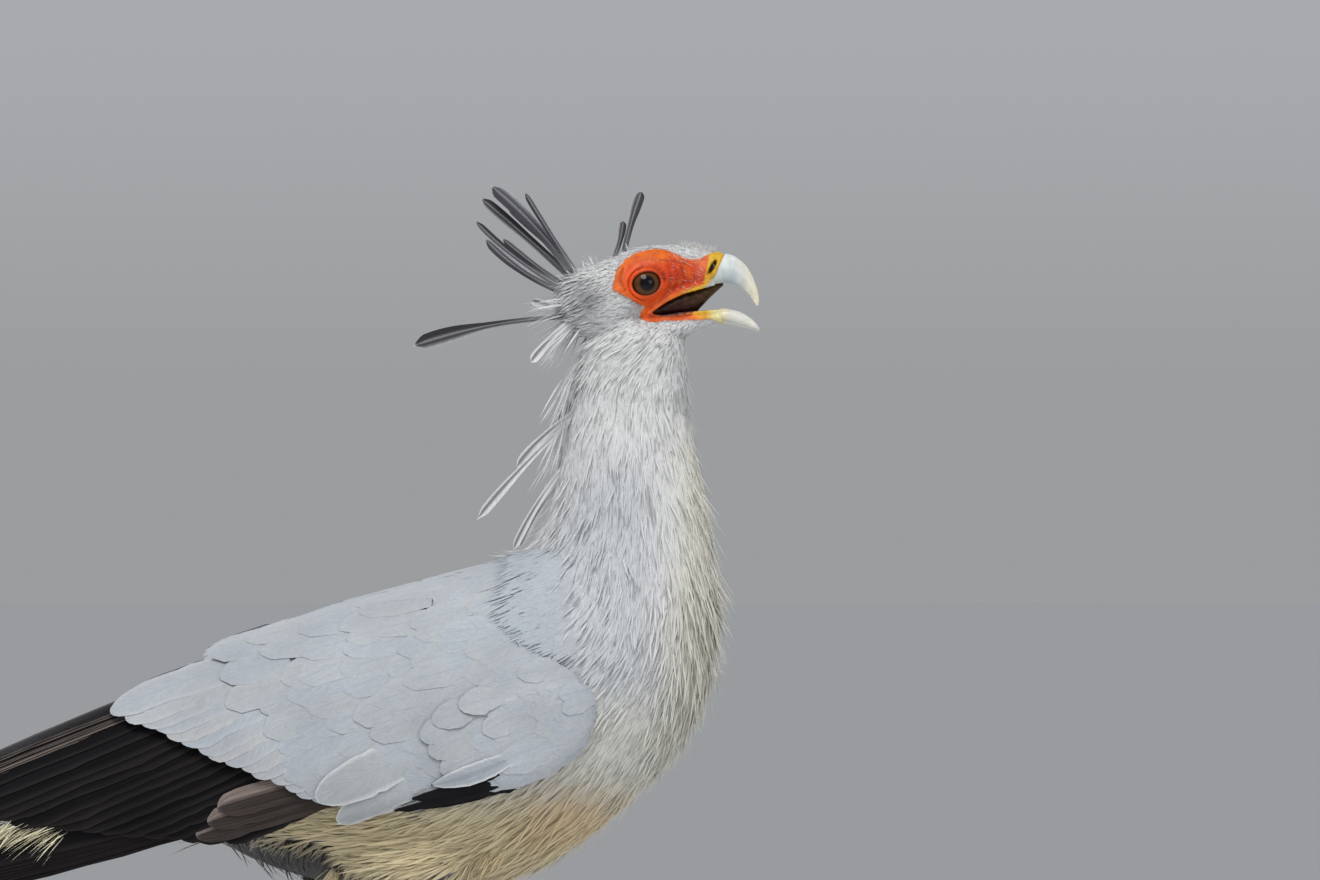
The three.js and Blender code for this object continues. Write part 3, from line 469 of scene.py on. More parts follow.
lips = remeshed(shell_object("lips", lips), HEAD_SQUARE * 0.6)
skin = remeshed(combined(skin, lips, "UNION"), HEAD_SQUARE, 3)

trunk = [tube(body_rings(np.linspace(2.6, RUMP_PLACE, 90), 96, -NECK_COAT))]
trunk += [tube(limb_rings(leg, THIGH, 40, 48, -THIGH_COAT)) for leg in LEGS.values()]
skin = combined(skin, remeshed(shell_object("trunk", trunk), BODY_SQUARE, 6), "UNION")
print("skin:", len(skin.data.polygons), "faces")

# %% [markdown]
# A finish in Blender is a small graph of nodes. This helper keeps each graph short to write:
# every call adds one node, and a socket passed as a value becomes a link.
# A number that is the same all over is set straight on the shader, where the export can read it.

# %% A helper for finishes
class Finish:
    def __init__(self, name, roughness=0.7, **constants):
        self.material = bpy.data.materials.new(name)
        self.material.use_nodes = True
        self.tree = self.material.node_tree
        self.shader = self.tree.nodes["Principled BSDF"]
        self.set(Roughness=roughness, **constants)

    def set(self, **values):
        for name, value in values.items():
            self.put(self.shader.inputs[name.replace("_", " ")], value)

    def put(self, socket, value):
        if isinstance(value, bpy.types.NodeSocket):
            self.tree.links.new(value, socket)
        elif isinstance(value, tuple) and len(value) == 3 and len(socket.default_value) == 4:
            socket.default_value = (*value, 1)
        else:
            socket.default_value = value

    def node(self, kind, inputs, output=0, **settings):
        made = self.tree.nodes.new("ShaderNode" + kind)
        for name, value in settings.items():
            setattr(made, name, value)
        for name, value in inputs.items():
            self.put(made.inputs[name], value)
        return made.outputs[output]

    def place(self):
        return self.node("TexCoord", {}, "Object")

    def millimetres(self, axis):
        """How far along x, y or z a place lies, in the bird's own millimetres."""
        metres = self.split(self.place())[axis]
        return self.sum("SUBTRACT", self.sum("MULTIPLY", metres, 1000.0), float(SHIFT[axis]))

    def stored(self, name, output="Color"):
        return self.node("Attribute", {}, output, attribute_name=name)

    def split(self, vector):
        parts = self.tree.nodes.new("ShaderNodeSeparateXYZ")
        self.put(parts.inputs[0], vector)
        return parts.outputs

    def sum(self, operation, a, b=0.0):
        return self.node("Math", {0: a, 1: b}, operation=operation)

    def noise(self, scale, detail=3.0, stretch=None):
        vector = self.place()
        if stretch:
            vector = self.node("Mapping", {"Vector": vector, "Scale": stretch})
        return self.node("TexNoise", {"Vector": vector, "Scale": scale, "Detail": detail})

    def range(self, value, low, high, to_low=0.0, to_high=1.0):
        inputs = {"Value": value, "From Min": low, "From Max": high, "To Min": to_low, "To Max": to_high}
        return self.node("MapRange", inputs)

    def swing(self, noise, low=0.0, high=1.0):
        """Stretches a noise, which seldom leaves 0.3 to 0.7, to reach from low to high."""
        return self.range(noise, 0.3, 0.7, low, high)

    def cells(self, scale):
        return self.node("TexVoronoi", {"Vector": self.place(), "Scale": scale}, "Distance")

    def mix(self, share, a, b, blend="MIX"):
        return self.node("Mix", {0: share, 6: a, 7: b}, 2, data_type="RGBA", blend_type=blend)

    def mottled(self, noise, dark, light):
        return self.mix(self.swing(noise), dark, light)

    def toned(self, colour, tone):
        """A colour made darker below a tone of 1 and lighter above it."""
        return self.mix(1.0, colour, self.node("CombineXYZ", {0: tone, 1: tone, 2: tone}), "MULTIPLY")

    def bump(self, height, strength, distance):
        return self.node("Bump", {"Height": height, "Strength": strength, "Distance": distance})


# %% [markdown]
# The face round the eye is bare. Its edge is a closed outline in the side view, the same on both sides.
# The distance inside that outline drives everything there: where feathers start, how deep the orange is,
# and where the skin sinks by the depth of the coat.

# %% The bare face
FACE_CORNERS = [
    (8.1, 963.5), (7.4, 960.7), (13.6, 956.7), (23.1, 951.9), (27.8, 949.5), (24.4, 943.8), (27.1, 941.1),
    (33.9, 939.7), (40.6, 940.6), (54.3, 941), (67.8, 941.5), (82, 940), (82, 986), (73.1, 984),
    (67.8, 982.8), (65, 981.1), (61, 979.4), (54.3, 979.7), (47.4, 982.8), (40.6, 985.2), (32.5, 985.5),
    (22.4, 983.1), (15.6, 978.4), (10.2, 971.6),
]
FACE_EDGE = between(FACE_CORNERS[-2:] + FACE_CORNERS + FACE_CORNERS[:2], np.linspace(2, 26, 73)[:-1])


def depth_inside(outline, x, z):
    """How far inside a closed outline each point lies in the side view, negative outside it."""
    outline = np.asarray(outline, float)
    nearest = np.full(len(x), 1e9)
    inside = np.zeros(len(x), bool)
    for (ax, az), (bx, bz) in zip(outline, np.roll(outline, -1, axis=0)):
        run, rise = bx - ax, bz - az
        share = np.clip(((x - ax) * run + (z - az) * rise) / (run * run + rise * rise), 0, 1)
        nearest = np.minimum(nearest, np.hypot(x - ax - share * run, z - az - share * rise))
        if rise:
            inside ^= ((az > z) != (bz > z)) & (x < ax + (z - az) * run / rise)
    return np.where(inside, nearest, -nearest)


def distance_to(path, x, z):
    """Distance in the side view to a smooth path through a few points."""
    path = between(path, np.linspace(0, len(path) - 1, 60))
    return np.hypot(x[:, None] - path[:, 0], z[:, None] - path[:, -1]).min(axis=1)


def near_line(path, x, z, width):
    """1 on a line of the side view, fading away over a width on both sides."""
    return np.exp(-((distance_to(path, x, z) / width) ** 2))


def in_hollow(points, stations, grow):
    """Whether points lie in a hollow of the mouth, made a little larger."""
    x = points[:, 0]
    ends = [row[0] for row in stations]
    place = np.interp(x, ends, np.arange(len(stations)))
    _, z, deep, wide, _ = between(stations, place).T
    oval = ((points[:, 2] - z) / (deep + grow)) ** 2 + (points[:, 1] / (wide + grow)) ** 2
    return (oval < 1) & (x > ends[0] - 1) & (x < ends[-1] + 1)


def waves(points, size, seed):
    """A smooth wavering number between -1 and 1 that changes over a given size in mm."""
    rng = np.random.default_rng(seed)
    total = np.zeros(len(points))
    for _ in range(5):
        total += np.sin(points @ rng.normal(0, 2.2 / size, 3) + rng.uniform(0, 6.28))
    return total / 2.5


def bareness(points):
    frayed = depth_inside(FACE_EDGE, points[:, 0], points[:, 2]) + 0.35 * waves(points, 2.5, 3)
    return ramp(-0.5, 0.5, frayed)


def on_thigh(points):
    """1 on the black trousers and the flank above them, 0 on the rest of the body."""
    share = np.zeros(len(points))
    for leg in LEGS.values():
        _, deep, wide, out = between(THIGH, place_in(THIGH, points[:, 2])).T
        away_x = (points[:, 0] - leg_x(leg, points[:, 2])) / (deep + 2)
        away_y = (points[:, 1] - leg["y"] - leg["side"] * out) / (wide + 2)
        near = ramp(1.25, 1.05, np.hypot(away_x, away_y))
        share = np.maximum(share, near * ramp(606, 590, points[:, 2]))
    flank = ramp(0, -8, points[:, 2] - 624 + 0.12 * (points[:, 0] + 190))
    return np.maximum(share, flank * ramp(-148, -158, points[:, 0]) * ramp(-246, -232, points[:, 0]))


# %% Sink and shape the skin
def mesh_points(mesh):
    points = np.empty(len(mesh.vertices) * 3, np.float32)
    mesh.vertices.foreach_get("co", points)
    return points.reshape(-1, 3) * 1000.0 - SHIFT


def mesh_normals(mesh):
    normals = np.empty(len(mesh.vertices) * 3, np.float32)
    mesh.vertex_normals.foreach_get("vector", normals)
    return normals.reshape(-1, 3).astype(float)


LIP_GROOVE_SHADE = [(31, 944), (36, 943.4), (43, 943.2), (50, 943.4), (57, 944.4)]
BROW = [(11, 970), (19, 977.5), (30, 980), (42, 977)]
LORE_FOLDS = [
    [(43, 973.5), (44.5, 966), (42, 958.5), (36.5, 951.5)],
    [(46, 975), (48.5, 967), (46, 959.5), (41, 954.5)],
    [(51, 974), (52.5, 967), (50.5, 961)],
    [(38, 978.5), (46, 977.5), (53, 976)],
    [(14, 973), (12.5, 966), (15.5, 959)],
]

points = mesh_points(skin.data)
normals = mesh_normals(skin.data)
bare = bareness(points)
in_mouth = in_hollow(points, PALATE, 0.9) | in_hollow(points, MOUTH_FLOOR, 0.9)
in_mouth &= np.abs(points[:, 1]) < 12.5
head_share = ramp(905, 925, points[:, 2])
relief = -HEAD_COAT * head_share * (1 - bare) * ~in_mouth
relief += 0.9 * bare * near_line(BROW, points[:, 0], points[:, 2], 2.4)
for fold in LORE_FOLDS:
    relief -= 0.55 * bare * near_line(fold, points[:, 0], points[:, 2], 1.0)
points += normals * relief[:, None]
skin.data.vertices.foreach_set("co", to_metres(points).astype(np.float32).ravel())
skin.data.update()

# %% [markdown]
# The markings of the face are worked out point by point and stored on the mesh.
# The orange is deepest before the eye and lighter at its rim; the cere and the lips near the bill are yellow.
# The mouth is a dark red brown that turns olive under the palate.

# %% Colours of the skin
DEEP_ORANGE = np.array([0.84, 0.060, 0.003])
LIGHT_ORANGE = np.array([0.93, 0.185, 0.008])
YELLOW = np.array([0.86, 0.50, 0.030])
STUBBLE = np.array([0.85, 0.40, 0.26])
IVORY = np.array([0.80, 0.69, 0.36])
HORN_ROOT = np.array([0.56, 0.59, 0.56])
MAROON = np.array([0.055, 0.016, 0.014])
OLIVE = np.array([0.085, 0.060, 0.018])
DOWN_SKIN = np.array([0.72, 0.71, 0.70])
SOOT = np.array([0.012, 0.011, 0.012])


def skin_colours(points, bare, in_mouth):
    x, _, z = points.T
    inside = depth_inside(FACE_EDGE, x, z)
    colours = np.tile(DEEP_ORANGE, (len(x), 1))
    colours = toward(colours, LIGHT_ORANGE, 0.9 * np.exp(-np.maximum(inside, 0) / 2.6))
    colours = toward(colours, LIGHT_ORANGE, 0.8 * ramp(973, 981, z) * ramp(48, 38, x))
    colours = toward(colours, LIGHT_ORANGE, 0.6 * ramp(20, 13, x))
    colours = toward(colours, DEEP_ORANGE * 0.72, 0.35 * ramp(0, 1, waves(points, 9, 21)))
    colours = toward(colours, LIGHT_ORANGE, 0.4 * ramp(0.1, 1, waves(points, 6, 22)))
    colours = toward(colours, STUBBLE, 0.18 * ramp(56, 63, x) * ramp(962, 970, z))
    # Along the folds of the lore the orange is darker: painted shade in the creases.
    for fold in LORE_FOLDS:
        colours = toward(colours, DEEP_ORANGE * 0.45, 0.6 * near_line(fold, x, z, 0.9))
    on_lip = np.maximum(near_line(UPPER_LIP, x, z, 2.2), near_line(LOWER_LIP, x, z, 1.8))
    colours = toward(colours, LIGHT_ORANGE, 0.8 * on_lip)
    colours = toward(colours, YELLOW, near_line(UPPER_LIP, x, z, 1.5) * ramp(44, 60, x))
    colours = toward(colours, YELLOW, ramp(54, 67, x + 1.6 * (z - 944)) * ramp(956, 950, z))
    colours = toward(colours, IVORY, ramp(66, 73, x) * ramp(956, 950, z))
    # A dark red line along the groove of the lip: painted shade in the groove.
    groove = near_line(LIP_GROOVE_SHADE, x, z, 0.8) * ramp(950, 947, z)
    colours = toward(colours, DEEP_ORANGE * 0.34, 0.95 * groove)
    cere = ramp(-0.9, 0.7, x - 65 - 0.2 * (z - 964.2))
    colours = toward(colours, YELLOW, cere * ramp(958, 962, z))
    colours = toward(colours, HORN_ROOT, ramp(-0.6, 1.4, x - 68.6 - 0.85 * (z - 965.4)) * ramp(959, 961, z))
    colours = toward(DOWN_SKIN + 0 * colours, colours, bare)
    inner = blend(MAROON, OLIVE, ramp(949, 957, z)[:, None])
    colours = np.where(in_mouth[:, None], inner, colours)
    # Deep in each nostril the skin is near black: painted shade in the pit.
    lean = math.radians(NOSTRIL["lean"])
    along_slit = (x - NOSTRIL["x"]) * math.sin(lean) + (z - NOSTRIL["z"]) * math.cos(lean)
    across_slit = (x - NOSTRIL["x"]) * math.cos(lean) - (z - NOSTRIL["z"]) * math.sin(lean)
    pit = (across_slit / 1.35) ** 2 + (along_slit / 4.9) ** 2 < 1
    painted_pit_shade = pit & (np.abs(points[:, 1]) < NOSTRIL["y"] + 1.5)
    colours[painted_pit_shade] = (0.01, 0.005, 0.004)
    return toward(colours, SOOT, on_thigh(points))


paint_colour(skin.data, "Tint", skin_colours(points, bare, in_mouth))
paint(skin.data, "Bare", np.maximum(bare * head_share, in_mouth))

# %% [markdown]
# Bare skin is finely pebbled and crossed by wrinkles, and it lets a little light in.
# A cell pattern gives the pebbles, as bump and as a change of tone, and a stretched noise the wrinkles.

# %% The skin's finish
finish = Finish(
    "bare_and_feathered_skin", Subsurface_Weight=0.12, Subsurface_Scale=0.0015, Specular_IOR_Level=0.35
)
bare_share = finish.stored("Bare", "Fac")
pebbles = finish.cells(1150.0)
wrinkles = finish.noise(420, 4, stretch=(1.0, 1.0, 0.35))
patches = finish.noise(160, 4)
blotches = finish.mix(finish.swing(patches), (0.80, 0.66, 0.6), (1.12, 1.3, 1.3))
tone = finish.mix(bare_share, (1.0, 1.0, 1.0), blotches)
tint = finish.mix(1.0, finish.stored("Tint"), tone, "MULTIPLY")
specks = finish.range(pebbles, 0.0, 0.5, 1.18, 0.8)
finish.set(Base_Color=finish.toned(tint, specks), Roughness=finish.range(bare_share, 0, 1, 0.9, 0.42))
relief = finish.sum("ADD", finish.sum("MULTIPLY", pebbles, -0.6), wrinkles)
finish.set(Normal=finish.bump(finish.sum("MULTIPLY", relief, bare_share), 0.7, 0.0006))
skin.data.materials.clear()
under_skin = ["head", "neck_upper", "neck_lower", "torso", "thigh_right", "thigh_left"]
finished(skin, finish.material, "head_feathers", *under_skin)

# %% [markdown]
# The bill is horn: blue grey at its root, whiter along the ridge and ivory at the hooked tip.
# Where its halves meet their edges are sharper than an oval, so the sections are squared a little there.

# %% The bill
UPPER_BILL = [
    (70.8, 971.6, 8.6, 7, 22), (72.9, 972, 9.8, 8.2, 22.4), (73.9, 972.3, 10.9, 9.3, 22.8),
    (74.8, 972.4, 11, 9.2, 23), (80.3, 972, 9.7, 7.9, 26), (87.2, 968.9, 7.3, 6.1, 37),
    (92.2, 963.3, 5.1, 4.5, 53), (95.8, 957.4, 3.2, 3, 66), (97.6, 952.9, 1.9, 1.8, 72),
    (98.4, 950.2, 0.9, 0.9, 76),
]
LOWER_BILL = [
    (73.6, 943.6, 2.6, 6.2, 0), (75.4, 943.9, 4.0, 7.1, -3), (77, 943.8, 4.6, 7.5, -5),
    (80, 943.4, 4.8, 7.3, -7), (85, 942.3, 5.1, 6.6, -10), (89.8, 940.9, 4.8, 5.6, -12),
    (93.5, 939.2, 4.4, 4.6, -14), (96.2, 938, 4.0, 4.0, -20), (97.8, 937.2, 3.4, 3.3, -24),
    (98.7, 936.8, 2.6, 2.5, -26), (99.2, 936.6, 1.6, 1.5, -26), (99.4, 936.5, 0.5, 0.5, -26),
]


def horn_piece(name, stations, edge_side, flat, material, *replaced):
    """A half of the bill. edge_side: -1 squares its underside, 1 its upper side, pressed in by flat."""
    count, around = 70, 64
    rings = leaning(stations, count, around)
    middles = rings.mean(axis=1, keepdims=True)
    angles = 2 * np.pi * (np.arange(around) + 0.5) / around
    facing_edge = np.clip(edge_side * np.sin(angles), 0, 1)
    swell = 0.16 * np.sin(2 * angles) ** 2 * facing_edge - flat * facing_edge**6
    from_root = ramp(0.1, 0.45, np.linspace(0, 1, count))[:, None]
    rings = middles + (rings - middles) * (1 + from_root * swell)[:, :, None]
    return finished(shell_object(name, [tube(rings)]), material, "bill", *replaced)


horn = Finish(
    "horn_of_the_bill", Coat_Weight=0.25, Coat_Roughness=0.2, Subsurface_Weight=0.1, Subsurface_Scale=0.002
)
x_mm, z_mm = horn.millimetres(0), horn.millimetres(2)
root = horn.mix(horn.range(x_mm, 74, 79), (0.56, 0.59, 0.56), (0.46, 0.53, 0.56))
shaft = horn.mix(horn.range(z_mm, 966, 979), root, (0.74, 0.77, 0.77))
body = horn.mix(horn.range(x_mm, 84, 96), shaft, (0.84, 0.79, 0.62))
clouds = horn.swing(horn.noise(260, 4, stretch=(1, 1, 0.5)), 0.86, 1.08)
layers = horn.noise(900, 3, stretch=(1.0, 1.0, 0.15))
horn.set(Base_Color=horn.toned(body, clouds), Roughness=horn.swing(layers, 0.24, 0.4))
horn.set(Normal=horn.bump(layers, 0.25, 0.0004))
horn_piece("bill_upper_horn", UPPER_BILL, -1, 0.14, horn.material, "bill_upper")

lower_horn = Finish("horn_of_the_lower_bill", Coat_Weight=0.2, Coat_Roughness=0.25)
from_root = lower_horn.range(lower_horn.millimetres(0), 74, 82)
warm = lower_horn.mix(from_root, (0.80, 0.69, 0.36), (0.74, 0.73, 0.66))
worn = lower_horn.swing(lower_horn.noise(500, 4, stretch=(0.3, 1, 1)), 0.85, 1.05)
lower_horn.set(Base_Color=lower_horn.toned(warm, worn), Roughness=lower_horn.sum("MULTIPLY", worn, 0.35))
lower_horn.set(Normal=lower_horn.bump(worn, 0.2, 0.0004))
horn_piece("bill_lower_horn", LOWER_BILL, 1, 0.04, lower_horn.material, "bill_lower")

# %% [markdown]
# Behind the open bill the mouth closes with dark wet flesh, from the corner up to the palate. It slopes back
# from the upper bill to the lower, so from the front one looks down it into the throat. Its near black is
# partly the flesh's own dark red and olive, and partly painted shade in place of the dark throat.

# %% The flesh of the mouth
GULLET = [
    (20, 945.2, 1.5, 11, 0), (27, 945.6, 3.4, 12.6, 0), (31, 946, 4.2, 12.8, 0), (36, 947, 4.6, 12.1, 0),
    (41, 948.6, 5.4, 10.9, 0), (51, 951.4, 7.4, 9, 0),
    (59, 953.3, 8, 7.2, 0), (63, 955.6, 6.6, 6.4, 0), (70, 960.2, 4, 5, 0), (77, 963.6, 1, 3, 0),
]
rings = leaning(GULLET, 70, 48)
middles = rings.mean(axis=1, keepdims=True)
folds = 0.25 * np.sin(rings[:, :, 0] * 0.9 + rings[:, :, 2] * 0.7) * np.sign(rings[:, :, 1])
rings[:, :, 1] = rings[:, :, 1] * 0.96 + folds
gullet = shell_object("mouth_flesh", [tube(rings)])
dark_wet = Finish("dark_mouth", Coat_Weight=0.1, Coat_Roughness=0.3, Specular_IOR_Level=0.12)
rise = dark_wet.range(dark_wet.millimetres(2), 949, 959)
# Near-black red and olive: the flesh's own colour, darkened further as painted shade in place of the throat.
olive = dark_wet.mix(rise, (0.030, 0.008, 0.007), (0.060, 0.032, 0.010))
ridges = dark_wet.noise(500, 4, stretch=(0.4, 1, 1))
shade = dark_wet.swing(ridges, 0.6, 1.4)
dark_wet.set(Base_Color=dark_wet.toned(olive, shade))
dark_wet.set(Roughness=dark_wet.swing(ridges, 0.3, 0.5), Normal=dark_wet.bump(ridges, 0.5, 0.0006))
finished(gullet, dark_wet.material, "tongue")

# %% [markdown]
# The tongue is a narrow pointed leaf, hollowed along its middle and wet.

# %% The tongue
rings = leaning(TONGUE, 40, 32)
on_top = rings[:, :, 2] > rings[:, :, 2].mean(axis=1, keepdims=True)
groove = np.exp(-((rings[:, :, 1] / 1.2) ** 2)) * on_top
rings[:, :, 2] -= 0.4 * groove
tongue = shell_object("tongue_flesh", [tube(rings)])
wet = Finish("wet_tongue", Coat_Weight=0.5, Coat_Roughness=0.15)
wet.set(Subsurface_Weight=0.15, Subsurface_Scale=0.002)
buds = wet.noise(1500, 3)
wet.set(Base_Color=wet.mottled(buds, (0.20, 0.06, 0.05), (0.34, 0.13, 0.10)))
wet.set(Roughness=wet.swing(buds, 0.25, 0.45), Normal=wet.bump(buds, 0.4, 0.0003))
finished(tongue, wet.material, "tongue", "tongue")

# %% [markdown]
# The eyeball is a sphere whose clear front swells a little. It has a large black pupil and a brown iris
# with fine spokes. The pattern reads how far each point lies from the axis, which is stored on the mesh.

# %% The eyes
def eye_radius(angles):
    """The ball's radius, which swells a little about the axis."""
    return EYE["radius"] + 0.5 * np.exp(-((angles / 0.5) ** 2))


def eyeball(name, side):
    angles = np.linspace(0.0, np.pi, 60)[1:-1]
    radius = eye_radius(angles)
    rings = about_eye(side, radius * np.sin(angles), radius * np.cos(angles), 64)
    piece = shell_object(name, [tube(rings)])
    middle, axis, ahead, up = eye_frame(side)
    spread = mesh_points(piece.data) - middle
    away = np.linalg.norm(spread - (spread @ axis)[:, None] * axis, axis=1)
    away = np.where(spread @ axis > 0, away, 20)
    paint(piece.data, "Away", np.stack([away, spread @ ahead, spread @ up], -1))
    return piece


eye = Finish("wet_eye", 0.06, Coat_Weight=0.14, Coat_Roughness=0.02, IOR=1.36, Specular_IOR_Level=0.3)
away, ahead, up = eye.split(eye.stored("Away", "Vector"))
turn = eye.sum("ARCTAN2", up, ahead)
polar = eye.node("CombineXYZ", {0: turn, 1: away})
spokes = eye.node("TexNoise", {"Vector": polar, "Scale": 9.0, "Detail": 4.0})
brown = eye.mottled(spokes, (0.040, 0.014, 0.004), (0.150, 0.058, 0.012))
rim = eye.mix(eye.range(away, 7.0, 8.4), brown, (0.012, 0.006, 0.004))
pupil = eye.mix(eye.range(away, 4.3, 5.4), (0.002, 0.002, 0.003), rim)
eye.set(Base_Color=eye.mix(eye.range(away, 8.6, 9.3), pupil, (0.16, 0.05, 0.035)))
eye.set(Normal=eye.bump(eye.noise(700, 2), 0.02, 0.0002))
for name, side in (("right", -1), ("left", 1)):
    finished(eyeball("eyeball_" + name, side), eye.material, "eye", "eye_" + name)

# %% [markdown]
# The lids are a ring of folded skin between the eyeball and the face. Each ring of the mesh follows a
# profile: a rounded margin on the ball, a crease, a swelling, a second crease, and an edge sunk in the face.
# A ray towards the head finds the height of the face under every point of the outer edge.

# %% The lids
LID = {"half_wide": 8.9, "half_high": 7.4, "tilt": 12, "reach": 15.2}
LID_PROFILE = [
    (0, 0), (0.03, 0.7), (0.12, 0.85), (0.24, 0.62), (0.34, 0.4), (0.42, -0.5), (0.5, 0.3), (0.66, 0.22),
    (0.82, 0.05), (1, -0.5),
]


def lids(name, side, face):
    middle, axis, ahead, up = eye_frame(side)
    angles = np.linspace(0, 2 * np.pi, 96, endpoint=False)
    share, lift = between(LID_PROFILE, np.linspace(0, len(LID_PROFILE) - 1, 34)).T
    turned = angles - math.radians(LID["tilt"])
    margin = 1 / np.hypot(np.cos(turned) / LID["half_wide"], np.sin(turned) / LID["half_high"])
    margin -= 0.5 * np.maximum(np.sin(turned), 0) ** 2
    seat = np.sqrt(eye_radius(np.arcsin(margin / EYE["radius"])) ** 2 - margin**2) + 0.05
    top = np.empty((len(angles), len(share), 3))
    folds = np.empty((len(angles), len(share)))
    for i, angle in enumerate(angles):
        direction = math.cos(angle) * ahead + math.sin(angle) * up
        for j, s in enumerate(share):
            out = blend(margin[i], LID["reach"], s)
            start = middle + direction * max(out, 12.9) + axis * 25
            hit = face.ray_cast(Vector(start), Vector(-axis))
            surface = (np.array(hit[0]) - middle) @ axis if hit[0] else 10.5
            hood = 1.2 * max(math.sin(angle - 0.2), 0) * math.exp(-(((s - 0.22) / 0.16) ** 2))
            facing = 0.9 * math.cos(angle) + 0.35 * max(math.sin(angle), 0)
            crease = float(ramp(0.55, -0.3, facing)) if 0.36 < s < 0.48 else 1
            folds[i, j] = blend(0.32, lift[j], crease)
            fold = folds[i, j] + hood
            height = blend(seat[i], surface, ramp(0.05, 0.85, s)) + fold
            top[i, j] = middle + direction * out + axis * height
    under = top[:, ::-1] - axis * 0.9
    loop = np.concatenate([top, under], axis=1)
    around, steps = loop.shape[:2]
    i, j = np.meshgrid(np.arange(around), np.arange(steps), indexing="ij")
    a, b = i * steps + j, i * steps + (j + 1) % steps
    c, d = (i + 1) % around * steps + (j + 1) % steps, (i + 1) % around * steps + j
    points = loop.reshape(-1, 3)
    faces = facing_out(points, [np.stack([a, b, c, d], -1).reshape(-1, 4)])
    piece = new_object(name, new_mesh(name, points, faces))
    across = np.tile(np.concatenate([share, share[::-1]]), around)
    paint(piece.data, "Across", across)
    paint(piece.data, "Raised", np.concatenate([folds, folds[:, ::-1]], axis=1).ravel())
    ones = np.ones(len(points))
    paint_colour(piece.data, "Tint", skin_colours(points, ones, ones < 0))
    return piece


skin_tree = BVHTree.FromPolygons(
    [Vector(p) for p in points], [tuple(face.vertices) for face in skin.data.polygons], epsilon=0.0
)
lid = Finish("lids", Subsurface_Weight=0.12, Subsurface_Scale=0.0015, Specular_IOR_Level=0.35)
across, raised = lid.stored("Across", "Fac"), lid.stored("Raised", "Fac")
margin = lid.mix(lid.range(across, 0.0, 0.16), (0.10, 0.016, 0.010), (0.84, 0.09, 0.006))
orange = lid.mix(lid.range(across, 0.25, 0.9), margin, lid.stored("Tint"))
# Where the lid's fold sinks, in its crease and at its sunken outer edge, the colour turns dark red: painted
# shade.
crease_shade = lid.mix(lid.range(raised, -0.4, -0.05), (0.16, 0.02, 0.006), orange)
cells = lid.cells(1300.0)
lid.set(Base_Color=lid.mix(lid.range(cells, 0, 0.6, 0.0, 0.25), crease_shade, (0.5, 0.04, 0.006)))
lid.set(Roughness=lid.range(across, 0, 0.3, 0.25, 0.45), Normal=lid.bump(cells, -0.5, 0.0004))
for name, side in (("right", -1), ("left", 1)):
    finished(lids("eyelids_" + name, side, skin_tree), lid.material, "head_feathers")

# %% [markdown]
# A folded wing lies against one smooth outline, wide at the shoulder and slim at the tips.
# Slices of that outline give, for any place in the side view, how far out the wing's surface lies.
# Every wing feather is laid on this surface, a little above or below it, as slates lie on a roof.

# %% The outline of the folded wings
ENVELOPE = [
    (25, 816, 641, 66, 0.965), (0, 810, 612, 77, 0.965), (-31, 805, 591, 87, 0.965),
    (-62, 799, 586, 91, 0.965), (-94, 790, 585, 92, 0.965), (-125, 781, 587, 91, 0.965),
    (-169, 769, 588, 87, 0.965), (-219, 754, 586, 80, 0.96), (-250, 742, 580, 76, 0.95),
    (-312, 711, 563, 69, 0.88), (-375, 680, 545, 66, 0.82), (-412, 663, 534, 65, 0.78),
    (-469, 637, 515, 64, 0.74), (-588, 582, 468, 62, 0.7), (-640, 558, 446, 61, 0.7),
]
ENVELOPE_POWER = 2.4
UPPER_TURN = 0.965


def envelope_out(x, z):
    _, top, low, wide, turn = np.moveaxis(between(ENVELOPE, place_in(ENVELOPE, x)), -1, 0)
    height = (z - (top + low) / 2) / ((top - low) / 2)
    q = np.minimum(np.abs(height), np.where(height > 0, UPPER_TURN, turn))
    return wide * (1 - q**ENVELOPE_POWER) ** (1 / ENVELOPE_POWER)


WING_EDGE = [
    (-236, 745), (-181, 757), (-137, 768), (-94, 770), (-58, 757), (-38, 738), (-15, 724), (0, 707), (0, 694),
    (-6, 674), (-25, 659), (-56, 646), (-94, 638), (-130, 634), (-170, 630), (-240, 660),
]
WING_ROUND = 12.0


def rounding(x, z):
    """How far the wing's rounded front and lower edge fall back from the outline."""
    path = between(WING_EDGE[3:], np.linspace(0, len(WING_EDGE) - 4, 50))
    inside = depth_inside(WING_EDGE, x.ravel(), z.ravel()).reshape(x.shape) > 0
    gap = np.hypot(x[..., None] - path[:, 0], z[..., None] - path[:, 1]).min(axis=-1)
    near = WING_ROUND - np.minimum(np.where(inside, gap, 0), WING_ROUND)
    back = 0.8 * (WING_ROUND - np.sqrt(WING_ROUND**2 - near**2))
    return back * ramp(-170, -120, x)


HAND_EDGE = [(-45, 716), (-53, 711), (-78, 704), (-94, 696), (-107, 686), (-104, 677), (-97, 667), (-92, 655)]
HAND = [*HAND_EDGE, (-60, 640), (10, 650), (10, 720)]
HAND_SWELL = 1.8


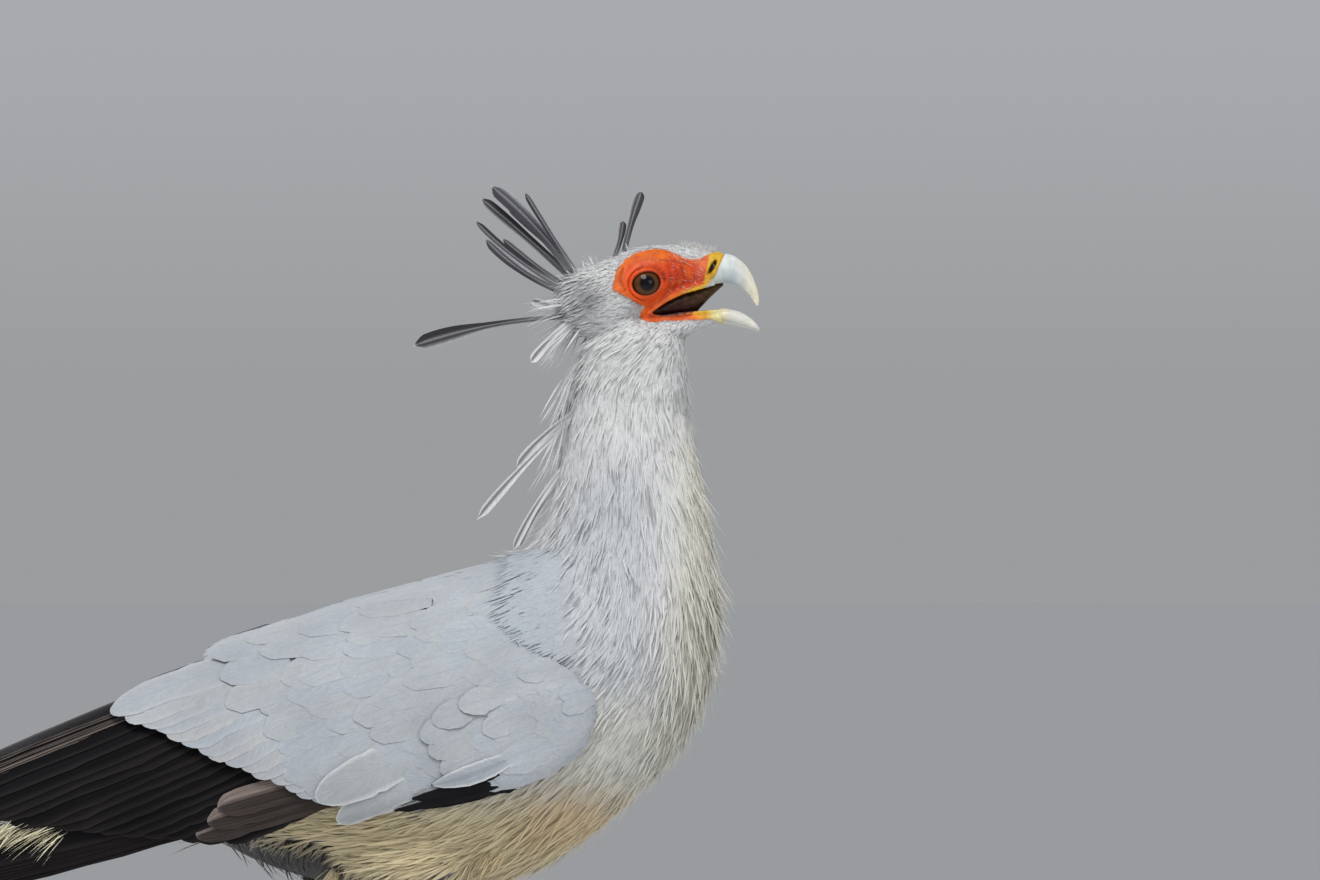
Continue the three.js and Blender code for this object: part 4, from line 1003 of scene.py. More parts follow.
def on_envelope(x, z, depth):
    """Points on the left wing's surface, sunk by a depth, and the direction out of it."""
    x, z = np.asarray(x, float), np.asarray(z, float)
    hand = HAND_SWELL * ramp(0, 7, depth_inside(HAND, x.ravel(), z.ravel()).reshape(x.shape))
    depth = np.asarray(depth) + rounding(x, z) - hand
    step = 1.5
    slope_x = (envelope_out(x + step, z) - envelope_out(x - step, z)) / (2 * step)
    slope_z = (envelope_out(x, z + step) - envelope_out(x, z - step)) / (2 * step)
    out = unit(np.stack([-slope_x, np.ones_like(slope_x), -slope_z], -1))
    at = np.stack([x, envelope_out(x, z), z], -1)
    return at - out * np.asarray(depth)[..., None], out


# %% [markdown]
# Every large feather is a vane: a thin blade, widest in the middle, with its shaft as a low ridge.
# A collector gathers the vanes of a piece into one mesh. With each point it keeps where the point lies on its
# feather, so that shafts, barbs and pale rims can be drawn in the finish. In the baking map every
# feather has a cell of its own, the upper face in one half and the lower face in the other.

# %% A collector of vanes
def slab_faces(rows, across):
    """The faces of a slab with a grid of points on each side, and the points round its edge in order."""
    size = rows * across
    i, j = np.meshgrid(np.arange(rows - 1), np.arange(across - 1), indexing="ij")
    a = (i * across + j).ravel()
    loop = [*range(across), *range(2 * across - 1, size, across)]
    loop += [*range(size - 2, size - across - 1, -1), *range(size - 2 * across, 0, -across)]
    quads = np.stack([a, a + 1, a + across + 1, a + across], -1)
    loop = np.array(loop)
    after = np.roll(loop, -1)
    rim = np.stack([loop, loop + size, after + size, after], -1)
    return np.concatenate([quads, quads[:, ::-1] + size, rim]), loop


class Plumes:
    def __init__(self):
        self.vanes = []

    def add(self, top, out, colour, half, length, thick):
        """top: rows along the feather of points across it. out: the direction out at each of them."""
        self.vanes.append((top, np.broadcast_to(out, top.shape), colour, half, length, thick))

    def mesh(self, name, mirrored=False):
        rng = np.random.default_rng(1)
        cells = math.ceil(math.sqrt(len(self.vanes)))
        points, faces, vane, share, tints, places, rims = [], [], [], [], [], [], []
        start = 0
        for n, (top, out, colour, half, length, thick) in enumerate(self.vanes):
            rows, across = top.shape[:2]
            k = np.linspace(-1, 1, across)[None, :] + np.zeros((rows, 1))
            f = np.linspace(0, 1, rows)[:, None] + np.zeros((1, across))
            body = thick * (0.25 + 0.75 * (1 - np.abs(k)) ** 0.7) * (1 - 0.6 * f)
            ridge = 0.35 * thick * np.exp(-((k / 0.12) ** 2)) * (1 - f)
            upper = top + out * ridge[..., None]
            lower = top - out * body[..., None]
            points += [upper.reshape(-1, 3), lower.reshape(-1, 3)]
            size = rows * across
            shell, loop = slab_faces(rows, across)
            faces.append(facing_out(np.concatenate(points[-2:]), [shell])[0] + start)
            start += 2 * size
            on_rim = np.zeros(size)
            on_rim[loop] = 1
            rims += [on_rim, -on_rim]
            chance = rng.random()
            for face in (0, 1):
                vane.append(np.stack([k * half, f * length, chance + 0 * k], -1).reshape(-1, 3))
                share.append(np.stack([k, f, face + 0 * k], -1).reshape(-1, 3))
                cell_u = (n % cells + 0.25 + 0.5 * face + 0.22 * k) / cells
                cell_v = (n // cells + 0.02 + 0.96 * f) / cells
                places.append(np.stack([cell_u, cell_v], -1).reshape(-1, 2))
            tints += [colour(k, f, chance).reshape(-1, 3)] * 2
        points = np.concatenate(points)
        faces = np.concatenate(faces)
        if mirrored:
            points = points * (1, -1, 1)
            faces = faces[:, ::-1]
        mesh = new_mesh(name, points, [faces])
        sharpen_rims(mesh, np.concatenate(rims))
        paint(mesh, "Vane", np.concatenate(vane))
        paint(mesh, "Share", np.concatenate(share))
        paint_colour(mesh, "Tint", np.concatenate(tints))
        map_points(mesh, np.concatenate(places))
        return mesh


def sharpen_rims(mesh, rim):
    """Sharpens the edge round each face of a vane, so that it is shaded flat and not like a pillow."""
    first, second = rim[edge_ends(mesh)].T
    mark_sharp(mesh, (first == second) & (first != 0))


def blade(rows, tip_from, root_share=0.55, tip_share=0.12, point=1.0):
    """Places along a feather, closer together at the tip, and the share of its full half width there."""
    straight = np.linspace(0, tip_from, rows - rows // 3, endpoint=False)
    turn = np.linspace(0, 1, rows // 3)
    places = np.concatenate([straight, tip_from + (1 - tip_from) * np.sin(turn * np.pi / 2)])
    wide = root_share + (1 - root_share) * ramp(0, 0.5, places)
    round_off = np.sqrt(np.clip(1 - ((places - tip_from) / (1 - tip_from)).clip(0) ** 2, 0, 1))
    return places, wide * np.maximum(round_off**point, tip_share)


# %% [markdown]
# A row of wing feathers is given by its first and last root and tip in the side view.
# The roots are sunk deeper than the tips, and each blade is tilted so that its lower edge lies over the next.
# Flight feathers are near black; the coverts over them are a pale blue grey with a trace of rust.

# %% Rows of wing feathers
COVERT_GREY = np.array([0.425, 0.465, 0.515])
COVERT_WARM = np.array([0.55, 0.51, 0.455])
FLIGHT_BLACK = np.array([0.0085, 0.0078, 0.0095])
FLIGHT_BROWN = np.array([0.105, 0.084, 0.076])
PALE_RIM = np.array([0.74, 0.75, 0.76])

ROWS = {
    "greater_coverts": dict(
        count=15, roots=[(-196, 730), (-128, 688)], tips=[(-304, 699), (-176, 642)], half=(13, 11),
        depth=(2.6, 0.9), tilt=0.05, tip_from=0.8, bulge=5, rows=18, across=7, layer=0.0, thick=0.28,
    ),
    "secondaries": dict(
        count=16, roots=[(-212, 731), (-150, 655)], tips=[(-432, 640), (-236, 617)], half=(14, 11),
        depth=(7.5, 6.0), tilt=0.10, tip_from=0.88, bulge=0, rows=22, across=7, layer=0.0,
    ),
    "tertials": dict(
        count=7, roots=[(-202, 741), (-206, 734)], tips=[(-424, 652), (-474, 622)], half=(8, 10),
        depth=(6.5, 3.6), tilt=0.06, tip_from=0.9, bulge=3, rows=24, across=7, layer=0.35,
    ),
    "primaries": dict(
        count=10, roots=[(-160, 662), (-140, 645)], tips=[(-440, 598), (-588, 541)], half=(11.5, 9.5),
        depth=(9.0, 9.0), tilt=0.03, tip_from=0.9, bulge=0, rows=26, across=7, layer=0.75,
    ),
    "inner_primaries": dict(
        count=3, roots=[(-150, 660), (-146, 650)], tips=[(-236, 636), (-250, 619)], half=(9, 9),
        depth=(5.2, 3.8), tilt=0.08, tip_from=0.84, bulge=1, rows=18, across=7, layer=0.6,
    ),
    "thumb": dict(
        count=3, roots=[(-50, 668), (-44, 655)], tips=[(-104, 653), (-127, 636.5)], half=(6, 7.2),
        depth=(1.4, -2.0), tilt=0.06, tip_from=0.45, bulge=-2, rows=18, across=7, layer=0.5, point=1.3,
    ),
    "loose_coverts": dict(
        count=2, roots=[(-98, 678), (-92, 667)], tips=[(-174, 645), (-161.5, 629.5)], half=(13.5, 11.5),
        depth=(2.4, -1.4), tilt=0.04, tip_from=0.62, bulge=2, rows=18, across=9, layer=0.9, thick=0.3,
    ),
    "hand_coverts": dict(
        count=5, roots=[(-30, 716), (-62, 662)], tips=[(-60, 710), (-97, 660)], half=(8.5, 10.5),
        depth=(0.8, -1.3), tilt=0.02, tip_from=0.5, bulge=1, rows=12, across=7, layer=0.0, thick=0.15,
    ),
}


def wing_feather(plumes, root, tip, half, row, colour, depth_shift, rng):
    f, share = blade(row["rows"], row["tip_from"], point=row.get("point", 1.0))
    root, tip = np.array(root, float), np.array(tip, float)
    middle = (root + tip) / 2 + (0, row["bulge"])
    bend = 2 * middle - (root + tip) / 2
    route = (1 - f)[:, None] ** 2 * root + (2 * f * (1 - f))[:, None] * bend + f[:, None] ** 2 * tip
    depth = blend(row["depth"][0], row["depth"][1], ramp(0, 0.8, f)) + depth_shift
    at, out = on_envelope(route[:, 0], route[:, 1], depth)
    heading = unit(np.gradient(at, axis=0))
    down = unit(np.cross(heading, out))
    down *= np.where(down[:, 2:] > 0, -1, 1)
    reach = np.linspace(-1, 1, row["across"])[None, :] * (half * share)[:, None]
    reach = reach * (1 + rng.normal(0, 0.035, reach.shape) * (np.abs(reach) > 0.9 * half * share[:, None]))
    x = route[:, 0, None] + down[:, 0, None] * reach
    z = route[:, 1, None] + down[:, 2, None] * reach
    crown = 0.02 * half * (1 - (reach / half) ** 2)
    top, outs = on_envelope(x, z, depth[:, None] - reach * row["tilt"] - crown)
    plumes.add(top, outs, colour, half, np.linalg.norm(tip - root), row.get("thick", 0.4))


def hand_row(plumes, row, rng):
    """The coverts of the hand end along a curved edge, over those of the arm."""
    edge = between(HAND_EDGE, np.linspace(2.3, len(HAND_EDGE) - 1.6, row["count"]))
    for n, end in enumerate(edge):
        turn = math.radians(blend(14, 32, n / row["count"]) + rng.normal(0, 2))
        heading = np.array([math.cos(turn), math.sin(turn)])
        tip = end - heading * rng.uniform(3, 5)
        half = blend(row["half"][0], row["half"][1], n / row["count"])
        wing_feather(plumes, end + heading * 26, tip, half, row, covert_colour(rng), 0.05 * n - 0.2, rng)


def wing_row(plumes, row, colour, rng, wobble=1.0):
    for i in range(row["count"]):
        s = i / (row["count"] - 1)
        root = blend(*np.array(row["roots"], float), s) + rng.normal(0, wobble, 2)
        tip = blend(*np.array(row["tips"], float), s) + rng.normal(0, wobble, 2)
        half = blend(row["half"][0], row["half"][1], s)
        wing_feather(plumes, root, tip, half, row, colour, row["layer"] * i, rng)


# %% [markdown]
# The small coverts cover the wing in eighteen rows, from tiny ones at the wrist to long ones at the rear.
# Each is set on the shield between an upper and a lower edge line, and points back and more and more down.
# A smooth closed sheet lies under them all, so that no gap shows through.

# %% Coverts and the sheet under them
SHIELD_TOP = [
    (0, 707), (-15, 724), (-38, 738), (-58, 757), (-94, 768), (-137, 765), (-181, 753), (-219, 741),
    (-236, 733),
]
SHIELD_LOW = [(0, 696), (-6, 674), (-25, 659), (-56, 646), (-94, 638), (-119, 637), (-144, 641), (-166, 647)]


def shield_at(u, v):
    top = between(SHIELD_TOP, u * (len(SHIELD_TOP) - 1))
    low = between(SHIELD_LOW, u * (len(SHIELD_LOW) - 1))
    return top + (low - top) * np.asarray(v)[..., None]


LOWER_EDGE = [
    (-200, 652), (-165, 646), (-145, 647), (-125, 653), (-105, 658), (-75, 655), (-62, 652), (-33, 663),
    (-7, 679), (4, 690),
]


def covert_colour(rng):
    warmth = np.clip(rng.normal(0.12, 0.07), 0, 0.5)
    tone = rng.normal(1.0, 0.010)
    base = blend(COVERT_GREY, COVERT_WARM, warmth) * tone

    def colour(k, f, chance):
        rim = np.maximum(ramp(0.8, 1.0, np.abs(k)), ramp(0.93, 1.0, f))[..., None]
        # The root is a trace darker than the tip: painted shade where it lies under the feathers before it.
        return base * (0.99 + 0.02 * f[..., None]) + (PALE_RIM - base) * 0.07 * rim

    return colour


def small_coverts(plumes, rng):
    row = dict(rows=9, across=5, tip_from=0.55, bulge=0.8, depth=(1.15, 0.5), tilt=0.012, thick=0.1)
    u = 0.01
    while u < 0.80:
        length = 19 + 31 * ramp(0, 0.7, u)
        half = 6.0 + 6.4 * ramp(0, 0.8, u)
        edge = shield_at(np.array([u, u]), np.array([0.0, 1.0]))
        count = max(int(np.linalg.norm(edge[0] - edge[1]) / (half * 0.9)), 4)
        for v in (np.arange(count) + rng.uniform(0.1, 0.9)) / count:
            root = shield_at(u + rng.normal(0, 0.012), 0.97 * v)
            turn = math.radians(14 + v * (6 + 20 * ramp(0.3, 0.75, u)) + rng.normal(0, 4.0))
            long = length * rng.uniform(0.85, 1.15)
            tip = root + long * np.array([-math.cos(turn), -math.sin(turn)])
            tip[1] = max(tip[1], np.interp(tip[0], *np.transpose(LOWER_EDGE)) + 0.4 * half)
            lifted = -0.45 if rng.random() < 0.05 else 0.0
            colour = covert_colour(rng)
            wing_feather(plumes, root, tip, half, row, colour, lifted + rng.normal(0, 0.035), rng)
        u += 0.34 * length / 238


def closed_sheet(name, outer, inner, mirrored=False):
    """A closed grey slab between an outer and an inner grid of points, joined round the rim."""
    points = np.concatenate([outer.reshape(-1, 3), inner.reshape(-1, 3)])
    faces = facing_out(points, [slab_faces(*outer.shape[:2])[0]])
    if mirrored:
        points, faces = points * (1, -1, 1), [faces[0][:, ::-1]]
    mesh = new_mesh(name, points, faces)
    paint_colour(mesh, "Tint", np.tile(COVERT_GREY * 0.9, (len(points), 1)))
    paint(mesh, "Vane", points * (0.2, 1, 1))
    return new_object(name, mesh)


def shield_sheet(name, mirrored):
    """The sheet under the coverts, thinner and deeper at its rim."""
    u, v = np.meshgrid(np.linspace(0, 1, 60), np.linspace(0, 1, 30), indexing="ij")
    at = shield_at(u.ravel(), v.ravel()).reshape(*u.shape, 2)
    rim = np.sqrt(np.minimum.reduce([6 * v, 6 * (1 - v), 8 * u, 8 * (1 - u), np.ones_like(u)]))
    outer, _ = on_envelope(at[..., 0], at[..., 1], 1.9 + 3.7 * (1 - rim))
    inner, _ = on_envelope(at[..., 0], at[..., 1], 8.0 + 6 * rim)
    return closed_sheet(name, outer, inner, mirrored)


# %% [markdown]
# One recipe finishes every vane. Soft streaks follow the barbs, which leave the shaft at a slant on both
# sides, the shaft itself is a fine pale or dark line, and slow stains drift over the whole wing.

# %% The finish of the vanes
def vane_finish(name, shaft_shade, streak, stain, roughness, streak_along=False, sheen=0.15, gloss=0.4):
    made = Finish(name, Sheen_Weight=sheen, Sheen_Roughness=0.5, Specular_IOR_Level=gloss)
    across_mm, along_mm, chance = made.split(made.stored("Vane", "Vector"))
    away = made.sum("ABSOLUTE", across_mm)
    slant = made.sum("SUBTRACT", along_mm, made.sum("MULTIPLY", away, 1.3))
    if streak_along:
        grain_at = {0: made.sum("MULTIPLY", across_mm, 1.1), 2: chance}
        grain_at[1] = made.sum("MULTIPLY", along_mm, 0.03)
    else:
        grain_at = {0: slant, 1: made.sum("MULTIPLY", away, 0.12), 2: made.sum("MULTIPLY", chance, 90.0)}
    where = made.node("CombineXYZ", grain_at)
    barbs = made.node("TexNoise", {"Vector": where, "Scale": 0.9, "Detail": 3.0, "Roughness": 0.6})
    drift = made.noise(22, 4)
    fine = made.noise(380, 3)
    tone = made.range(barbs, 0.25, 0.75, 1 - streak, 1 + streak)
    tone = made.sum("MULTIPLY", tone, made.swing(drift, 1 - stain, 1 + stain))
    tone = made.sum("MULTIPLY", tone, made.swing(fine, 0.96, 1.04))
    shade = made.toned(made.stored("Tint"), tone)
    shaft = made.range(away, 0.25, 0.6, 0.55, 0.0)
    made.set(Base_Color=made.mix(shaft, shade, shaft_shade))
    made.set(Roughness=made.swing(barbs, roughness - 0.08, roughness + 0.08))
    made.set(Normal=made.bump(made.sum("ADD", barbs, made.sum("MULTIPLY", fine, 0.3)), 0.5, 0.0006))
    return made.material


covert_finish = vane_finish("grey_coverts", (0.36, 0.40, 0.46), 0.10, 0.08, 0.72)
flight_finish = vane_finish(
    "black_flight_feathers", (0.012, 0.010, 0.011), 0.45, 0.15, 0.62, streak_along=True, sheen=0.0, gloss=0.08
)


def flight_colour(k, f, chance):
    rim = ramp(0.86, 1.0, np.abs(k))[..., None]
    return FLIGHT_BLACK * (0.4 + 0.4 * chance) + rim * np.array([0.016, 0.013, 0.013])


def tertial_colour(k, f, chance):
    rim = ramp(0.7, 0.95, np.abs(k))[..., None]
    return FLIGHT_BLACK * (0.7 + 0.6 * chance) + rim * np.array([0.20, 0.165, 0.145]) * (0.4 + 0.9 * chance)


def brown_colour(k, f, chance):
    outer = ramp(0.0, -0.4, k)[..., None]
    pale = ramp(0.9, 1.0, f)[..., None]
    return blend(FLIGHT_BROWN * 0.5, FLIGHT_BROWN * 2.2, outer) + pale * 0.05


def thumb_colour(k, f, chance):
    rim = ramp(0.72, 1.0, -k)[..., None]
    return blend(FLIGHT_BLACK * 1.2, PALE_RIM, 0.75 * rim)


def thumb_grey(k, f, chance):
    rim = ramp(0.78, 1.0, np.abs(k))[..., None]
    shaft = np.exp(-((k / 0.1) ** 2))[..., None]
    return blend(blend(COVERT_GREY * 0.9, PALE_RIM, 0.9 * rim), COVERT_GREY * 0.4, 0.5 * shaft)


def loose_colour(k, f, chance):
    rim = np.maximum(ramp(0.84, 1.0, np.abs(k)), ramp(0.95, 1.0, f))[..., None]
    return blend(COVERT_GREY * np.array([1.02, 0.99, 0.93]), PALE_RIM, 0.8 * rim)


def greater_colour(k, f, chance):
    rim = ramp(0.86, 1.0, np.abs(k))[..., None]
    warm = blend(COVERT_GREY, COVERT_WARM, 0.35 * chance)
    return blend(warm, PALE_RIM, 0.22 * rim)


# %% Both wings
for name, mirrored in (("right", True), ("left", False)):
    rng = np.random.default_rng(11 if mirrored else 12)
    pale, dark = Plumes(), Plumes()
    small_coverts(pale, rng)
    wing_row(pale, ROWS["greater_coverts"], greater_colour, rng)
    wing_row(pale, ROWS["loose_coverts"], loose_colour, rng, 0.5)
    hand_row(pale, ROWS["hand_coverts"], rng)
    wing_row(dark, ROWS["secondaries"], flight_colour, rng)
    wing_row(dark, ROWS["tertials"], tertial_colour, rng, 0.5)
    wing_row(dark, ROWS["primaries"], flight_colour, rng, 0.5)
    wing_row(dark, ROWS["inner_primaries"], brown_colour, rng, 0.5)
    wing_row(dark, ROWS["thumb"], thumb_colour, rng, 0.3)
    wing_feather(pale, (-48, 673), (-103, 653.5), 6.5, ROWS["thumb"], thumb_grey, -0.9, rng)
    sheet = shield_sheet("wing_sheet_" + name, mirrored)
    finished(sheet, covert_finish, "wing_feathers", "wing_" + name)
    coverts = new_object("coverts_" + name, pale.mesh("coverts_" + name, mirrored))
    finished(coverts, covert_finish, "wing_feathers", "wing_" + name)
    flights = new_object("flight_feathers_" + name, dark.mesh("flight_feathers_" + name, mirrored))
    finished(flights, flight_finish, "wing_feathers", "wing_" + name)

# %% [markdown]
# The crest is a loose bunch of dark feathers, slim near the root and widening to a spoon with a pale tip.
# Each is drawn in the bird's own plane from root to tip, bows a little and leans outwards.

# %% The crest and the nape
CREST = [
    ((-13, 968), (-47, 1021), -7, 1.6, 2.2, -0.5), ((-14, 966), (-68, 1025), -3, 3, 4.8, 3),
    ((-15, 965), (-74.5, 1017.5), 4, 2.4, 3.6, 0.5), ((-12, 967), (-58, 1014), 11, 2, 3.6, 1),
    ((-18, 959), (-78, 1003), -9, 1.8, 2.4, -3.4), ((-17, 959), (-61, 992), -6, 1.8, 2.4, -1),
    ((-19, 957), (-72, 992), 9, 2, 3, -4), ((8.5, 979), (14.5, 1003), -6, 1.5, 2.6, -1),
    ((14.5, 980), (26, 1022), 3, 1.8, 3.6, 1), ((-22, 943), (-117, 925), 2, 1.5, 5.4, 3.6),
]
PALE_CREST = [
    ((-19, 940), (-43, 914.5), -8, 2, 3.2, 1), ((-23, 946.5), (-43, 953), 7, 2, 2.8, 0.5),
    ((-12, 884), (-76.5, 816.5), -6, 1.4, 3.2, 2), ((-12, 886), (-52, 849), -3, 1.8, 3.4, 2.5),
    ((-10, 900), (-31, 869), 9, 1.8, 3.4, 0), ((-22, 850), (-54, 797.5), -5, 1.7, 2.6, 2),
    ((-23, 842), (-50, 799), 6, 1.7, 2.6, 2),
]
SPOON = [(-0.2, 0.9, 0), (0.2, 1, 0), (0.5, 0.8, 0.2), (0.75, 0.1, 0.85), (0.93, 0, 0.85), (1, 0, 0.3)]


def crest_feather(plumes, measures, colour, rows=30, across=7):
    root, tip, y, slim, spoon, bow = measures
    root, tip = np.array([root[0], 0, root[1]]), np.array([tip[0], 0, tip[1]])
    along = tip - root
    length = np.linalg.norm(along)
    along = along / length
    rise = np.array([-along[2], 0, along[0]]) * (1 if along[0] > 0 else -1)
    places = np.interp(np.linspace(0, 1, rows), [0, 0.6, 0.85, 1], [-0.2, 0.7, 0.94, 1])
    station = np.interp(places, [row[0] for row in SPOON], np.arange(len(SPOON)))
    _, shaft, broad = between(SPOON, station).T
    half = np.maximum(shaft * slim + broad * spoon, 0.25)
    tip_round = np.sqrt(np.clip((1.004 - places) / 0.07, 0, 1))
    f = np.maximum(places, 0)
    at = root + along * (places * length)[:, None] + rise * (4 * bow * f * (1 - places))[:, None]
    at[:, 1] = y * 0.55 + 0.9 * y * f
    k = np.linspace(-1, 1, across)
    top = at[:, None] + (k[None, :] * (half * tip_round)[:, None])[..., None] * rise
    top[..., 1] += 0.35 * (1 - k[None, :] ** 2)
    plumes.add(top, np.array([0, 1.0, 0]), colour, max(slim, spoon), length * 1.2, 0.9)


def dark_spoon(k, f, chance):
    dark = np.array([0.036, 0.035, 0.043]) * (0.6 + 0.8 * chance)
    edge = ramp(0.45, 1.0, k * (1 if chance > 0.4 else -1)) * 0.6 * ramp(0.1, 0.5, f)
    tip = ramp(0.93, 1.0, f) * 0.8
    root_pale = ramp(0.45, 0.05, f) * 0.35
    shaft = np.exp(-((k / 0.16) ** 2)) * 0.22
    share = np.clip(np.maximum.reduce([edge, tip, root_pale]) + shaft, 0, 1)[..., None]
    return blend(dark, np.array([0.70, 0.71, 0.74]), share)


def pale_spoon(k, f, chance):
    vein = np.exp(-(((k - 0.25) / 0.36) ** 2)) * ramp(0.15, 0.5, f) * ramp(1.0, 0.93, f)
    return blend(np.array([0.74, 0.74, 0.75]), np.array([0.10, 0.10, 0.12]), vein[..., None])


spoons = Plumes()
for measures in CREST:
    crest_feather(spoons, measures, dark_spoon)
for measures in PALE_CREST:
    crest_feather(spoons, measures, pale_spoon)
crest_finish = vane_finish("crest_feathers", (0.24, 0.24, 0.26), 0.12, 0.05, 0.6, sheen=0.0, gloss=0.3)
crest = new_object("crest_feathers", spoons.mesh("crest_feathers"))
finished(crest, crest_finish, "head_feathers", "head", "neck_upper", "neck_lower")

# %% [markdown]
# The tail has twelve feathers in layers and two long streamers on top, drooping from the rump.
# They are grey with a dark band before a white tip. Their measures are the kind's, as the photograph ends
# before the tail.

# %% The tail
TAIL = {
    "droop_start": 21, "droop_end": 28, "straight": 620, "pairs": 6, "longest": 372, "shortest": 300,
    "half": 21, "layer": 1.25, "root_step": 1.8, "splay": 0.3, "streamer": 585, "streamer_half": 16,
    "streamer_splay": 0.8,
}
RUMP = body_rings([RUMP_PLACE, RUMP_PLACE], 4)[0].mean(axis=0)
TAIL_GREY = np.array([0.33, 0.36, 0.40])


def tail_at(distance):
    """A place along the drooping tail, and the direction up from it."""
    turn = (TAIL["droop_end"] - TAIL["droop_start"]) / TAIL["straight"]
    steps = (np.arange(24) + 0.5) / 24
    angles = np.radians(TAIL["droop_start"] + turn * distance[:, None] * steps)
    mean_way = np.stack([-np.cos(angles).mean(1), 0 * distance, -np.sin(angles).mean(1)], -1)
    place = RUMP + mean_way * distance[:, None]
    angle = np.radians(TAIL["droop_start"] + turn * distance)
    return place, np.stack([-np.sin(angle), 0 * angle, np.cos(angle)], -1)


def tail_feather(plumes, length, half, root_y, splay, height, colour):
    f, share = blade(30, 0.9, 0.5)
    distance = 18 + f * (length - 18)
    place, up = tail_at(distance)
    place = place + up * height
    place[:, 1] = root_y + math.tan(math.radians(splay)) * distance
    k = np.linspace(-1, 1, 11)
    top = place[:, None] + (k[None, :] * (half * share)[:, None])[..., None] * ACROSS
    top = top + up[:, None] * (0.5 * (1 - k**2))[None, :, None]
    plumes.add(top, up[:, None], colour, half, length, 0.7)


def banded(band_from, band_to):
    def colour(k, f, chance):
        wave = 0.012 * np.sin(9 * k + 6 * chance)
        dark = ramp(band_from - 0.02, band_from + 0.01, f + wave)
        dark = dark * ramp(band_to + 0.02, band_to - 0.01, f + wave)
        white = ramp(band_to, band_to + 0.03, f + wave)
        grey = TAIL_GREY * (0.9 + 0.2 * chance) * (1 - 0.25 * np.abs(k))[..., None]
        marked = blend(grey, FLIGHT_BLACK, dark[..., None])
        return blend(marked, np.array([0.74, 0.74, 0.73]), white[..., None])

    return colour


rectrices = Plumes()
for pair in range(TAIL["pairs"]):
    length = blend(TAIL["longest"], TAIL["shortest"], pair / (TAIL["pairs"] - 1))
    for side in (-1, 1):
        height = TAIL["layer"] * (3 - 2 * pair - (1 if side > 0 else 0))
        root_y, splay = side * TAIL["root_step"] * (pair + 0.5), side * TAIL["splay"] * (pair + 0.5)
        tail_feather(rectrices, length, TAIL["half"], root_y, splay, height, banded(0.66, 0.9))
for side in (-1, 1):
    height = TAIL["layer"] * (5 if side > 0 else 6)
    length, splay = TAIL["streamer"] + 6 * side, side * TAIL["streamer_splay"]
    tail_feather(rectrices, length, TAIL["streamer_half"], 5 * side, splay, height, banded(0.84, 0.95))
tail_finish = vane_finish("tail_feathers", (0.12, 0.12, 0.13), 0.12, 0.06, 0.6)
tail = new_object("tail_vanes", rectrices.mesh("tail_vanes"))
finished(tail, tail_finish, "tail_feathers", "tail")

# %% [markdown]
# Between the neck and the folded wings the back carries a mantle of broad, softly rounded feathers.
# They lie on one arched surface that runs from wing to wing, given by the line of the back in the side view.
# A thin closed sheet under them hides the hollow between the body and the wings.

# %% The mantle
CAPE_TOP = [
    (20, 806), (-30, 801), (-50, 796.5), (-67.5, 790.5), (-90.6, 784.8), (-125, 775.5), (-160.6, 766),
    (-185, 757.5), (-233.7, 743.2), (-262, 728),
]
MANTLE_REACH = [
    (0, 78), (-20, 70), (-51, 61), (-94, 55), (-137, 50), (-181, 44), (-219, 36), (-240, 30), (-262, 24),
]


def back_at(x, angle, depth):
    """A place on the back. Angle 0 is the midline, a quarter turn the widest place of a side."""
    x, angle = np.broadcast_arrays(np.asarray(x, float), np.asarray(angle, float))
    depth = depth + 9 * ramp(-62, -5, x) * ramp(0.35, 1.05, np.abs(angle)) + 1.5 * ramp(-40, 0, x)
    _, wing_top, wing_low, wide, _ = np.moveaxis(between(ENVELOPE, place_in(ENVELOPE, x)), -1, 0)
    top = np.interp(-x, [-row[0] for row in CAPE_TOP], [row[1] for row in CAPE_TOP])
    middle = (wing_top + wing_low) / 2
    power = 2 / ENVELOPE_POWER
    y = (wide - depth) * np.sign(np.sin(angle)) * np.abs(np.sin(angle)) ** power
    return np.stack([x, y, middle + (top - depth - middle) * np.abs(np.cos(angle)) ** power], -1)


def back_out(x, angle):
    step = 0.03
    along = back_at(x + 2, angle, 0) - back_at(x - 2, angle, 0)
    across = back_at(x, angle + step, 0) - back_at(x, angle - step, 0)
    return unit(np.cross(across, along))


def mantle_reach(x):
    return np.radians(np.interp(-x, [-row[0] for row in MANTLE_REACH], [row[1] for row in MANTLE_REACH]))


def mantle_feather(plumes, x, angle, long, half, colour, rng):
    f, share = blade(9, 0.55, 0.6)
    k = np.linspace(-1, 1, 5)
    drift = math.copysign(0.10, angle) * min(abs(angle) / 0.6, 1) + rng.normal(0, 0.07)
    reach = k[None, :] * (half * share)[:, None] * (1 + rng.normal(0, 0.03, (9, 5)))
    turned = angle + drift * f[:, None] * long / 40 + reach / 88
    route = x - long * f[:, None] + 0 * reach
    depth = blend(1.05, 0.4, ramp(0, 0.8, f))[:, None] + 0.01 * np.sign(angle) * reach + rng.normal(0, 0.035)
    plumes.add(back_at(route, turned, depth), back_out(route, turned), colour, half, long, 0.14)


def mantle_sheet(name):
    u, v = np.meshgrid(np.linspace(-8, -228, 60), np.linspace(-1, 1, 50), indexing="ij")
    turned = v * (mantle_reach(u) + 0.08)
    rim = np.minimum.reduce([6 * (1 - np.abs(v)), (u + 228) / 20, (-8 - u) / 20, np.ones_like(u)])
    outer = back_at(u, turned, 1.9 + 3.7 * (1 - np.sqrt(np.maximum(rim, 0))))
    inner = back_at(u, turned, 6.5 + 2.0 * np.sqrt(np.maximum(rim, 0)))
    return closed_sheet(name, outer, inner)


